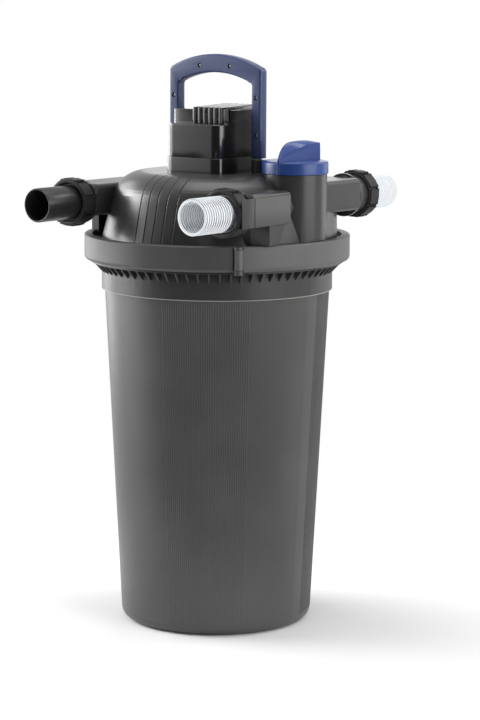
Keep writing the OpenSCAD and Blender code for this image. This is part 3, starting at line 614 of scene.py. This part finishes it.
def wall_ribs():
    """Three panels of fine upright ribs on the tapered wall, coloured lighter than the wall as a
    painted highlight.
    """
    rib_low, rib_high, half, proud, sunk, crown = 16, 482, 0.8, 0.34, 0.8, 0.8
    foot_r, top_r, wall_top = 137.5, 161.7, 483.5
    per_panel, panel_step, first_rib = 38, 1.2, -80.6
    lean = (top_r - foot_r) / wall_top
    low_r = foot_r + rib_low * lean
    rib = block((low_r - sunk, -half, rib_low), (low_r + proud, half, rib_high))
    open_mesh("FACE")
    pick("FACE", lambda at, face: face.normal.x > 0.9)
    bpy.ops.transform.resize(value=(1, crown, 1))
    pick("VERT", lambda at, corner: at.z > rib_high - 1)
    bpy.ops.transform.translate(value=((rib_high - rib_low) * lean * MM, 0, 0))
    close_mesh()
    turn_piece(rib, first_rib, "Z")
    open_mesh("FACE")
    repeat_round(per_panel - 1, -panel_step * (per_panel - 1))
    repeat_round(2, -180)
    close_mesh()
    hand_over(rib, "wall_ribs", "filter", rib_painted_highlight_skin)


def collar_bead():
    """Thin bead along the lower edge of the collar, coloured pale as a painted highlight along
    that edge.
    """
    edge_r, low, high, proud, root = 166, 483.15, 484.5, 0.3, 1
    bead = turned([
        (edge_r - root, low), (edge_r + 0.1, low), (edge_r + proud, low + 0.35),
        (edge_r + proud, high - 0.2), (edge_r, high), (edge_r - root, high), (edge_r - root, low),
    ], 180)
    hand_over(bead, "collar_bead", "filter", bead_painted_highlight_skin)


# Hose fittings

def to_port(piece, x, z, side, back=0):
    """Lays a fitting made along Z on its port: side -1 points to the front, 1 to the back."""
    turn_piece(piece, -90 * side, "X")
    shift_piece(piece, x, -side * back, z)


def union_nut(name, body, node, x, z, side, back=0):
    """Union nut: round body, eight grip lugs, a collar and a coned mouth at the tail end."""
    base_r, lug_r, start, end, seat = 31.5, 33.5, 148, 170, 165
    mouth_r, lip_r, inner_r = 28, 25.6, 29.4
    lugs, lug_half, lug_turn = 8, 11.2, 6
    nut = turned([
        (inner_r, start), (base_r - 0.8, start), (base_r, start + 0.8), (base_r, end - 4.4),
        (lug_r - 0.5, end - 3.6), (lug_r - 0.5, end - 0.8), (lug_r - 0.8, end - 0.25),
        (lug_r - 1.3, end), (mouth_r + 0.4, end), (mouth_r - 0.3, end - 0.4),
        (lip_r + 0.6, end - 3.4), (lip_r, end - 4), (lip_r, seat), (inner_r, seat),
        (inner_r, start),
    ])
    lug = block((base_r - 1.5, -lug_half, start + 1), (lug_r, lug_half, end - 1))
    open_mesh("EDGE")
    bpy.ops.mesh.select_all(action="SELECT")
    bpy.ops.mesh.subdivide(number_cuts=5)
    pick("VERT", lambda at, corner: at.x > lug_r - 0.1)
    mesh = bmesh.from_edit_mesh(lug.data)
    for corner in mesh.verts:
        if corner.select:
            corner.co.x = math.sqrt((lug_r * MM) ** 2 - corner.co.y ** 2)
    bmesh.update_edit_mesh(lug.data)
    close_mesh()
    soften(lug, 0.7, 3, 50)
    open_mesh("FACE")
    repeat_round(lugs - 1, 360 * (lugs - 1) / lugs)
    close_mesh()
    nut = combine(nut, lug, "UNION")
    turn_piece(nut, lug_turn * side, "Z")
    to_port(nut, x, z, side, back)
    hand_over(nut, name, body, nut_skin, [node])


def drain_arm_cheek():
    """Flat cheek on the outer side of the drain arm, which reaches forward beside the nut."""
    low, high = PORT_Z - 19, PORT_Z + 21
    inside, inside_ahead, outside = PORT_X + 31, PORT_X + 33.8, PORT_X + 34.9
    cheek = block((inside, -146, low), (outside, -57.5, high))
    ahead = block((inside_ahead, -168.5, low), (outside, -140, high))
    cheek = combine(cheek, ahead, "UNION")
    soften(cheek, 0.5, 3, 30)
    hand_over(cheek, "drain_arm_cheek", "filter", lid_skin)


def drain_arm_root():
    """Wall under the drain arm, from its post back into the dome."""
    foot, top = 562.6, PORT_Z - 15
    wall = block((PORT_X - 27, -103.6, foot), (PORT_X + 2, -70, top))
    soften(wall, 1, 3, 30)
    hand_over(wall, "drain_arm_root", "filter", lid_skin)


def smooth_tail():
    """Black hose tail of the inlet, with a rounded mouth."""
    outer, bore, end = 23.9, 21.5, TAIL_END
    tail = turned([
        (bore, FLANGE_LOW), *TAIL_FLANGE, (outer + 0.6, FLANGE_TOP), (outer, NECK),
        (outer, end - 0.8), (outer - 0.3, end - 0.2), (outer - 0.8, end), (bore + 0.6, end),
        (bore + 0.15, end - 0.2), (bore, end - 0.7), (bore, FLANGE_LOW),
    ])
    to_port(tail, -PORT_X, PORT_Z, -1)
    hand_over(tail, "inlet_hose_tail", "filter", tail_skin, ["inlet_tail"])


def thread_line(root, crest, pitch):
    """One pitch of the thread's outline, as (radius, height) steps."""
    return [
        (root, 0), (root, 0.30 * pitch), (crest - 0.25, 0.46 * pitch), (crest, 0.54 * pitch),
        (crest, 0.76 * pitch), (crest - 0.25, 0.84 * pitch), (root, pitch),
    ]


def threaded_tail(name, node, finish, x, z, side, end, back=0):
    """Clear tail with a real coarse thread, wound up from one pitch of its outline."""
    root, crest, pitch, bore, start, lip = 23.4, 25, 5, 20.5, 176, 1.2
    turns = int((end - start) / pitch) + 2
    clear_bench()
    bpy.ops.mesh.primitive_plane_add(size=MM, location=(0, 0, 0))
    tail = bpy.context.object
    open_mesh("VERT")
    bpy.ops.mesh.select_all(action="SELECT")
    bpy.ops.mesh.merge(type="CENTER")
    steps = thread_line(root, crest, pitch)
    bottom = end - pitch * turns + 2
    bpy.ops.transform.translate(value=(steps[0][0] * MM, 0, (bottom + steps[0][1]) * MM))
    for (r0, h0), (r1, h1) in zip(steps, steps[1:]):
        bpy.ops.mesh.extrude_vertices_move(
            TRANSFORM_OT_translate={"value": ((r1 - r0) * MM, 0, (h1 - h0) * MM)}
        )
    close_mesh()
    wind = tail.modifiers.new("wind", "SCREW")
    wind.axis = "Z"
    wind.angle = math.radians(360)
    wind.screw_offset = pitch * MM
    wind.iterations = turns
    wind.steps = wind.render_steps = 64
    wind.use_merge_vertices = True
    wind.merge_threshold = 1e-5
    bpy.ops.object.modifier_apply(modifier=wind.name)
    open_mesh("FACE")
    bpy.ops.mesh.select_all(action="SELECT")
    bpy.ops.mesh.remove_doubles(threshold=1e-6)
    for height, keep_below in ((start - 1, False), (end, True)):
        bpy.ops.mesh.select_all(action="SELECT")
        bpy.ops.mesh.bisect(
            plane_co=(0, 0, height * MM), plane_no=(0, 0, 1),
            clear_outer=keep_below, clear_inner=not keep_below,
        )
    close_mesh()
    cap_rims()
    shank_r = root - 0.02
    shank = turned([
        (shank_r, start + 2), (shank_r, NECK), (root + 0.6, FLANGE_TOP), *reversed(TAIL_FLANGE)
    ])
    cap_rims()
    tail = combine(tail, shank, "UNION")
    tail = combine(tail, ringed_core(bore, end, pitch), "DIFFERENCE")
    mark_crests(tail, (bore, bore + BORE_SWELL), (root, crest), end - lip)
    to_port(tail, x, z, side, back)
    hand_over(tail, name, "filter", finish, [node], angle=50)


def mark_crests(tail, inner, outer, mouth):
    """Notes for each corner of a tail how far it stands out of its hollows, from 0 to 1."""
    mark = tail.data.attributes.new(CREST, "FLOAT", "POINT")
    for corner, note in zip(tail.data.vertices, mark.data):
        r = math.hypot(corner.co.x, corner.co.y) / MM
        low, high = inner if r < (inner[1] + outer[0]) / 2 else outer
        note.value = 1 if corner.co.z > mouth * MM else min(max((r - low) / (high - low), 0), 1)


def ringed_core(bore, end, pitch):
    """Core that leaves shallow rings in the bore and a smooth lip at the mouth."""
    lip, mouth_r, wide_r, last_ring, foot = 3.2, bore + 0.9, bore + BORE_SWELL, 166, 150
    steps = [(mouth_r, end + 4), (mouth_r, end - 0.2), (bore + 0.1, end - 1), (bore, end - lip)]
    height = end - lip
    while height - pitch > last_ring:
        steps += [
            (bore, height - 0.2 * pitch), (wide_r, height - 0.45 * pitch),
            (wide_r, height - 0.65 * pitch), (bore, height - 0.9 * pitch),
        ]
        height -= pitch
    steps.append((bore, foot))
    core = turned(steps, 64)
    cap_rims()
    return core


# Handle

def handle_blank(y0, y1):
    """Arched blank of one handle shell, sawn from a disc and cut out for the hand."""
    foot, centre, arch, band = 672, 639, 178, 26

    def disc(radius, side, low, y_low, y_high):
        """Disc that is sawn off at both sides and at the foot."""
        piece = lying_drum(radius, y_low, y_high, 0, centre, 180)
        open_mesh("FACE")
        for at, facing in (
            ((side, 0, 0), (1, 0, 0)), ((-side, 0, 0), (-1, 0, 0)), ((0, 0, low), (0, 0, -1))
        ):
            bpy.ops.mesh.select_all(action="SELECT")
            bpy.ops.mesh.bisect(
                plane_co=[c * MM for c in at], plane_no=facing, use_fill=True, clear_outer=True
            )
        close_mesh()
        return piece

    blank = disc(arch, HANDLE_HALF, foot, y0, y1)
    hand_gap = disc(arch - band, HANDLE_HALF - HANDLE_LEG, foot - 20, y0 - 5, y1 + 5)
    return combine(blank, hand_gap, "DIFFERENCE")


SCREW_SPOTS = [
    (side * x, DOME_TOP + rise)
    for x, rise in ((27, 149.5), (ROD_X, 106), (ROD_X, 53.6))
    for side in (-1, 1)
]


def handle_shell(name, node, y0, y1, face_y):
    """One shell: rounded grip edges outside, a fine shadow line where the shells meet."""
    sharp, rod_hole = 0.6, 5.05
    screw_head, screw_hole = (3.4, 4), (1.9, 20)
    front = face_y < 0
    seam_y = y0 + y1 - face_y

    def shoulder(side, low, high):
        """Rule: the corner of the arch at this distance from the middle."""
        return lambda at, e: (
            along_y(at, e) and abs(abs(at.x) - side) < 0.3 and low < at.z < high
        )

    def rim(y):
        """Rule: the sharp edges round the face at this depth."""
        return lambda at, e: abs(at.y - y) < 0.01 and e.calc_face_angle(0) > sharp

    shell = handle_blank(y0, y1)
    round_edges(5.8, 7, shoulder(HANDLE_HALF - HANDLE_LEG, 770, 782))
    round_edges(4.3, 6, shoulder(HANDLE_HALF, 790, 803))
    round_edges(3.4, 5, rim(face_y), clamp=False)
    round_edges(0.35, 1, rim(seam_y))
    for x in (-ROD_X, ROD_X):
        combine(shell, drum(rod_hole, 660, 690, (x, 0), 48), "DIFFERENCE")
    for x, z in SCREW_SPOTS:
        for radius, depth in (screw_head, screw_hole) if front else (screw_hole,):
            drill = lying_drum(radius, -HANDLE_THICK - depth, -HANDLE_THICK + depth, x, z, 32)
            combine(shell, drill, "DIFFERENCE")
    hand_over(shell, name, "handle", handle_skin, [node], angle=30)


def handle_fasteners():
    """Six round-headed screws with a cross slot, modelled once and copied."""
    screw = turned([
        (1.75, 13.4), (1.75, 3.9), (3.0, 3.9), (3.0, 3.1), (2.8, 2.4), (2.2, 1.9), (1.4, 1.65),
        (0.6, 1.6),
    ], 32)
    cap_rims()
    for turn in (20, 110):
        slot = block((-1.7, -0.36, 0.9), (1.7, 0.36, 2.6))
        turn_piece(slot, turn, "Z")
        combine(screw, slot, "DIFFERENCE")
    turn_piece(screw, -90, "X")
    copies = []
    for x, z in SCREW_SPOTS:
        twin = copy_piece(screw)
        shift_piece(twin, x, -HANDLE_THICK, z)
        copies.append(twin)
    bpy.data.objects.remove(screw)
    screws = weld_together(copies)
    hand_over(screws, "handle_fasteners", "handle", steel_skin, ["handle_screws"])


# Ultraviolet head

def head_tray():
    """Lower tray of the head: rounded corners, spigot into the lid, posts for the board."""
    floor, rim, post_top = DOME_TOP + 5, DOME_TOP + 21.5, DOME_TOP + 47
    spigot_r, post_r, screw_r, sleeve_r, seal_r = 33.6, 5, 2.05, 20.3, 25
    tray = block((-53, -59, DOME_TOP), (48, 53, rim))
    round_edges(16.5, 12, upright)
    round_edges(0.9, 3, lambda at, e: abs(at.z - rim) < 0.01)
    inside = block((-49, -55, floor), (44, 49, rim + 20))
    round_edges(12.5, 8, upright)
    combine(tray, inside, "DIFFERENCE")
    combine(tray, drum(spigot_r, DOME_TOP - 21, DOME_TOP + 1), "UNION")
    for spot in ((-36, -43), (31, -43), (-36, 35), (31, 35)):
        combine(tray, drum(post_r, floor - 1, post_top, spot, 32), "UNION")
        combine(tray, drum(screw_r, post_top - 10, post_top + 10, spot, 24), "DIFFERENCE")
    combine(tray, drum(sleeve_r, DOME_TOP - 60, DOME_TOP + 40), "DIFFERENCE")
    combine(tray, drum(seal_r, DOME_TOP - 22, DOME_TOP - 13), "DIFFERENCE")
    hand_over(tray, "head_tray", "filter", head_skin, ["head_base"])


def head_shell():
    """Upper shell of the head: stepped top, bay for the cover, hollow inside."""
    seam, ledge, top = DOME_TOP + 21.9, DOME_TOP + 69, DOME_TOP + 89
    right, step_y, above = 46, -29.5, DOME_TOP + 129
    shell = block((-51, -57, seam), (right, 51, ledge))
    round_edges(14.5, 12, upright)
    round_edges(2.2, 4, lambda at, e: abs(at.z - ledge) < 0.01)
    raised = block((-49, -41, ledge - 8), (right, 40, top))
    round_edges(5, 6, upright)
    round_edges(1.6, 4, lambda at, e: abs(at.z - top) < 0.01)
    combine(shell, raised, "UNION")
    combine(shell, block((-13, -60, ledge + 4), (43, 33.5, above)), "DIFFERENCE")
    combine(shell, block((43, -60, ledge + 0.02), (60, step_y, above)), "DIFFERENCE")
    hollow = block((-48, -54, seam - 12), (43, 48, ledge - 3))
    round_edges(11.5, 8, upright)
    combine(shell, hollow, "DIFFERENCE")
    take(shell)
    round_edges(
        2.4, 5,
        lambda at, e: upright(at, e) and at.x > right - 0.1 and abs(at.y - step_y) < 0.1
        and at.z > ledge,
    )
    soften(shell, 0.9, 3, 40)
    hand_over(shell, "head_shell", "filter", head_skin, ["head_housing"])


def ribbed_cover():
    """Cover in the bay: a sloping plate, and six rounded ribs over its front and top."""
    count, left, right, low, high = 6, -12.6, 42.6, DOME_TOP + 73.4, DOME_TOP + 90.4
    front, back, slant, proud, rib_start, rib_share = -41.6, 32.4, 3, 2, 0.22, 0.56
    pitch = (right - left - 0.2) / count

    def slab(x0, x1, y0, top):
        """Block whose top rises towards the back."""
        piece = block((x0, y0, low), (x1, back, top))
        open_mesh("VERT")
        pick("VERT", lambda at, corner: at.y > back - 0.1 and at.z > top - 0.1)
        bpy.ops.transform.translate(value=(0, 0, slant * MM))
        close_mesh()
        return piece

    cover = slab(left, right, front, high)
    for i in range(count):
        rib_left = left + pitch * (i + rib_start)
        rib_right = rib_left + pitch * rib_share
        rib = slab(rib_left, rib_right, front - proud, high + proud)
        apron = block((rib_left, front - proud, low - 3.6), (rib_right, front + 0.3, low + 4))
        combine(rib, apron, "UNION")
        take(rib)
        round_edges(
            1.3, 4, lambda at, e: at.y < front - proud + 0.1 or at.z > high + proud - 0.1
        )
        combine(cover, rib, "UNION")
    soften(cover, 0.4, 2, 50)
    hand_over(cover, "ribbed_cover", "filter", head_skin, ["head_cover"])


# Valve knob

def knob():
    """Selector knob: rounded disc and a wedge-shaped grip fin that rises from its rim."""
    radius, low, high, square, rest_turn = KNOB_R, 654.4, 672, 7.2, 95.5
    disc = turned([
        (radius - 0.6, low), (radius, low + 0.6), (radius, high - 3.2),
        (radius - 0.45, high - 1.6), (radius - 1.6, high - 0.45), (radius - 3.2, high), (8, high),
    ], 128)
    cap_rims()
    beak = block((-radius - 0.8, -2.5, low), (-radius + 5, 2.5, high + 2))
    round_edges(1.6, 4, lambda at, e: upright(at, e) and at.x < -radius)
    combine(disc, beak, "UNION")
    combine(disc, grip_fin(high), "UNION")
    spindle = block((-square, -square, low - 5), (square, square, low + 14))
    combine(disc, spindle, "DIFFERENCE")
    turn_piece(disc, rest_turn, "Z")
    shift_piece(disc, PORT_X, 0, 0)
    hand_over(disc, "selector_knob", "valve", knob_skin, ["valve_knob"], angle=32)


def along(table, x):
    """Reads a height from a table of (place, height) pairs, straight between them."""
    if x <= table[0][0]:
        return table[0][1]
    for (x0, h0), (x1, h1) in zip(table, table[1:]):
        if x <= x1:
            return h0 + (h1 - h0) * (x - x0) / (x1 - x0)
    return table[-1][1]


def fin_section(x):
    """Half outline of the fin at x, from keel to ridge, as (half width, height) steps."""
    nose, back, keel, arch_start, arch_reach = FIN_NOSE, FIN_BACK, FIN_KEEL, -14.7, 32.1
    half = 2.5 + 17.2 * (x - nose) / (back - nose)
    ridge = along([(-15, 28.4), (0, 28.4), (28, 27.7), (34, 26.6), (36.4, 25), (back, 22.4)], x)
    if x < arch_start:
        ridge *= math.sqrt(max(0.0, 1 - ((arch_start - x) / arch_reach) ** 2))
    crease = along([
        (nose, 0.6), (-45, 2.6), (-40, 6), (-31, 10.5), (-18, 14.8), (-2, 18.4), (14, 21.6),
        (28, 24),
    ], x)
    crease = max(min(crease, ridge - 0.05), 0.5)
    hollow = along([(nose, 0.35), (-42, 0.8), (-34, 1), (2, 1), (20, 0.25), (30, 0)], x)
    valley = along([
        (nose, 0.3), (-44, 2.4), (-37, 7), (-31, 11), (-12, 15.8), (8.7, 19.1), (back, 21)
    ], x)
    valley = min(valley, crease * 0.8)
    return [
        (half * 0.6, keel), (half, keel), (half, 0.2), (half * (1 - 0.10 * hollow), valley * 0.5),
        (half * (1 - 0.30 * hollow) - 0.25, valley), (half * (1 - 0.16 * hollow) - 0.5, crease),
        (half * 0.46, crease + 0.66 * (ridge - crease)), (0, max(ridge, 0.6)),
    ]


def grip_fin(top):
    """Fin lofted through its outlines, with a crease and a hollow along each side."""
    between = [-46, -44.5, -41.5, -37, -31, -24, -15, -5, 5, 15, 25, 31, 34, 36.4]
    stations = [FIN_NOSE, *between, FIN_BACK]
    sides = 16
    clear_bench()
    bpy.ops.mesh.primitive_circle_add(
        vertices=sides, radius=MM, fill_type="NGON", location=(stations[0] * MM, 0, 0),
        rotation=(0, math.radians(90), 0),
    )
    fin = bpy.context.object
    settle()
    open_mesh("FACE")
    bpy.ops.mesh.select_all(action="SELECT")
    for x0, x1 in zip(stations, stations[1:]):
        bpy.ops.mesh.extrude_region_move(
            TRANSFORM_OT_translate={"value": ((x1 - x0) * MM, 0, 0)}
        )
    bpy.ops.mesh.select_all(action="SELECT")
    bpy.ops.mesh.normals_make_consistent(inside=False)

    def lane(at):
        """Counts the lengthwise lines of the fin from the keel, the left side below zero."""
        turn = math.degrees(math.atan2(at.y, -at.z))
        return round(turn * sides / 360)

    for sharp, lines in ((1.0, (2, 3)), (0.7, (6,))):
        pick("EDGE", lambda at, e: abs(edge_line(e).x) > 0.9 and abs(lane(at)) in lines)
        bpy.ops.transform.edge_crease(value=sharp)
    mesh = bmesh.from_edit_mesh(fin.data)
    for corner in mesh.verts:
        line = lane(corner.co)
        outline = [(0, FIN_KEEL)] + fin_section(corner.co.x / MM)
        wide, high = outline[abs(line)]
        corner.co.y = math.copysign(wide, line) * MM
        corner.co.z = (top + high) * MM
    bmesh.update_edit_mesh(fin.data)
    close_mesh()
    smooth = fin.modifiers.new("rounded", "SUBSURF")
    smooth.levels = smooth.render_levels = 2
    bpy.ops.object.modifier_apply(modifier=smooth.name)
    return fin


# Foam stack

def foam_stack():
    """Six foam rings with slightly bulged sides and holes for the rods."""
    outer, inner, low, pitch, gap, rod_hole = 129, 47, 74.4, 68.6, 0.4, 6.5
    for i in range(6):
        z0 = low + i * pitch
        z1 = z0 + pitch - gap
        mid = (z0 + z1) / 2
        ring = turned([
            (inner, z0 + 1), (inner + 1, z0), (outer - 4, z0), (outer - 1.5, z0 + 1.5),
            (outer - 0.4, z0 + 5), (outer, mid), (outer - 0.4, z1 - 5), (outer - 1.5, z1 - 1.5),
            (outer - 4, z1), (inner + 1, z1), (inner, z1 - 1), (inner, z0 + 1),
        ], 72)
        for x in (-ROD_X, ROD_X):
            combine(ring, drum(rod_hole, z0 - 5, z1 + 5, (x, 0), 24), "DIFFERENCE")
        coarse = i % 2 == 0
        hand_over(
            ring, f"foam_{i + 1}", "filter",
            coarse_foam if coarse else fine_foam, [f"foam_ring_{i + 1}"],
        )
        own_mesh(ring)


# Camera, floor and light

def set_camera():
    """Camera at the photograph's viewing angle."""
    stand = (2.0972, -2.7270, 0.915)
    turn, tilt, roll = math.radians(37), math.radians(81.1), math.radians(0.3)
    clear_bench()
    bpy.ops.object.camera_add(location=(0, 0, 0))
    camera = bpy.context.object
    camera.name = "photo_camera"
    camera.matrix_world = (
        Matrix.Translation(stand)
        @ Matrix.Rotation(turn, 4, "Z")
        @ Matrix.Rotation(tilt, 4, "X")
        @ Matrix.Rotation(roll, 4, "Z")
    )
    camera.data.lens = 120
    camera.data.sensor_width = 36
    camera.data.clip_end = 50
    bpy.context.scene.camera = camera


def soft_box(name, place, aim, size, power):
    """Flat studio lamp that points at a spot; sizes in metres, power in watts."""
    bpy.ops.object.light_add(type="AREA", location=place)
    lamp = bpy.context.object
    lamp.name = name
    lamp.data.shape = "RECTANGLE"
    lamp.data.size, lamp.data.size_y = size
    lamp.data.energy = power
    aim_line = Vector(aim) - Vector(place)
    lamp.rotation_euler = aim_line.to_track_quat("-Z", "Y").to_euler()
    lamp.visible_camera = False


def dark_side(tree, where):
    """Level of the white paper by direction, for reflections: low on one side of the room."""
    dark_way, fade_start, fade_end = (0.67, -0.743, 0), 0.12, 0.56
    bright, dark = 0.8, 0.06
    away = tree.nodes.new("ShaderNodeVectorMath")
    away.operation = "NORMALIZE"
    tree.links.new(where, away.inputs[0])
    facing = tree.nodes.new("ShaderNodeVectorMath")
    facing.operation = "DOT_PRODUCT"
    facing.inputs[1].default_value = dark_way
    tree.links.new(away.outputs["Vector"], facing.inputs[0])
    return lane_between(tree, facing.outputs["Value"], fade_start, fade_end, bright, dark)


def paper_rays(tree, where):
    """Which rays meet the white paper, and how bright it is for them."""
    path = tree.nodes.new("ShaderNodeLightPath")
    shown = joined(
        tree, path.outputs["Is Camera Ray"], path.outputs["Is Transmission Ray"], "MAXIMUM"
    )
    seen = joined(tree, shown, path.outputs["Is Glossy Ray"], "MAXIMUM")
    return seen, joined(tree, shown, dark_side(tree, where), "MAXIMUM")


def mixed(tree, share, first, second, out):
    """Puts a mix of two shaders on an output."""
    mix = tree.nodes.new("ShaderNodeMixShader")
    tree.links.new(share, mix.inputs["Fac"])
    tree.links.new(first, mix.inputs[1])
    tree.links.new(second, mix.inputs[2])
    tree.links.new(mix.outputs["Shader"], out.inputs["Surface"])


def white_room():
    """White paper all round, with a dim level of its own for the general light."""
    world = bpy.data.worlds.new("white_room")
    bpy.context.scene.world = world
    world.use_nodes = True
    tree = world.node_tree
    tree.nodes.clear()
    out = tree.nodes.new("ShaderNodeOutputWorld")
    room = tree.nodes.new("ShaderNodeBackground")
    room.inputs["Color"].default_value = (0.97, 0.98, 1.0, 1)
    room.inputs["Strength"].default_value = 0.28
    paper = tree.nodes.new("ShaderNodeBackground")
    paper.inputs["Color"].default_value = (1, 1, 1, 1)
    way = tree.nodes.new("ShaderNodeTexCoord").outputs["Generated"]
    seen, level = paper_rays(tree, way)
    tree.links.new(level, paper.inputs["Strength"])
    mixed(tree, seen, room.outputs["Background"], paper.outputs["Background"], out)


def pale_floor():
    """White paper that takes the shadow near the filter and runs out into the white room."""
    reach, shadow_full, shadow_gone = 12, 0.25, 0.85
    clear_bench()
    bpy.ops.mesh.primitive_circle_add(
        vertices=96, radius=reach, fill_type="NGON", location=(0, 0, 0)
    )
    floor = bpy.context.object
    floor.name = "pale_floor"
    finish, tree, skin = new_finish("pale_floor")
    skin.inputs["Roughness"].default_value = 0.9
    skin.inputs["Specular IOR Level"].default_value = 0.0
    place = object_place(tree)
    paper = noise(tree, place, 6, 2)
    tree.links.new(
        two_tones(tree, paper, (0.93, 0.93, 0.93), (0.95, 0.95, 0.95)),
        skin.inputs["Base Color"],
    )
    glow = tree.nodes.new("ShaderNodeEmission")
    glow.inputs["Color"].default_value = (1, 1, 1, 1)
    from_middle = tree.nodes.new("ShaderNodeVectorMath")
    from_middle.operation = "LENGTH"
    tree.links.new(place, from_middle.inputs[0])
    fade = lane_between(
        tree, from_middle.outputs["Value"], shadow_full, shadow_gone, 0.0, 1.0
    )
    seen, level = paper_rays(tree, place)
    tree.links.new(level, glow.inputs["Strength"])
    share = joined(tree, fade, seen, "MULTIPLY")
    out = tree.nodes["Material Output"]
    mixed(tree, share, skin.outputs["BSDF"], glow.outputs["Emission"], out)
    floor.data.materials.append(finish)


bpy.context.scene.view_settings.view_transform = "Standard"
set_camera()
white_room()
pale_floor()
soft_box("left_box", (-1.85, -0.99, 0.95), (0, 0, 0.6), (1.3, 1.9), 24)
soft_box("left_back_box", (-2.1, 0.26, 0.9), (0, 0, 0.6), (1.0, 1.8), 18)
soft_box("left_key", (-1.9, -0.66, 1.22), (0, 0, 0.62), (1.3, 0.7), 27)
soft_box("right_box", (2.2, 0, 1.1), (0, 0, 0.65), (1.7, 1.5), 31)
soft_box("right_back_box", (0.8, 2.2, 1.0), (0, 0, 0.6), (1.0, 1.6), 5)
soft_box("rear_box", (-1.07, 1.84, 1.3), (0, 0, 0.65), (1.0, 1.0), 3)
soft_box("fin_box", (1.0, 1.25, 1.97), (PORT_X * MM, 0, 0.69), (0.7, 0.6), 9)
soft_box("top_box", (0.05, -0.1, 2.4), (0, 0, 0.6), (1.3, 1.3), 16)

paint_nodes()
wall_ribs()
collar_bead()
union_nut("inlet_union_nut", "inlet_union", "inlet_nut", -PORT_X, PORT_Z, -1)
union_nut("drain_union_nut", "drain_union", "drain_nut", PORT_X, PORT_Z, -1)
union_nut("outlet_union_nut", "outlet_union", "outlet_nut", PORT_X, OUTLET_Z, 1, OUTLET_BACK)
smooth_tail()
drain_arm_cheek()
drain_arm_root()
threaded_tail("drain_hose_tail", "drain_tail", clear_skin, PORT_X, PORT_Z, -1, TAIL_END)
threaded_tail(
    "outlet_hose_tail", "outlet_tail", painted_glow_clear_skin, PORT_X, OUTLET_Z, 1, OUTLET_END, OUTLET_BACK
)
handle_shell("handle_front_shell", "handle_front", -HANDLE_THICK, 0, -HANDLE_THICK)
handle_shell("handle_rear_shell", "handle_rear", 0, HANDLE_THICK, HANDLE_THICK)
handle_fasteners()
head_tray()
head_shell()
ribbed_cover()
knob()
foam_stack()
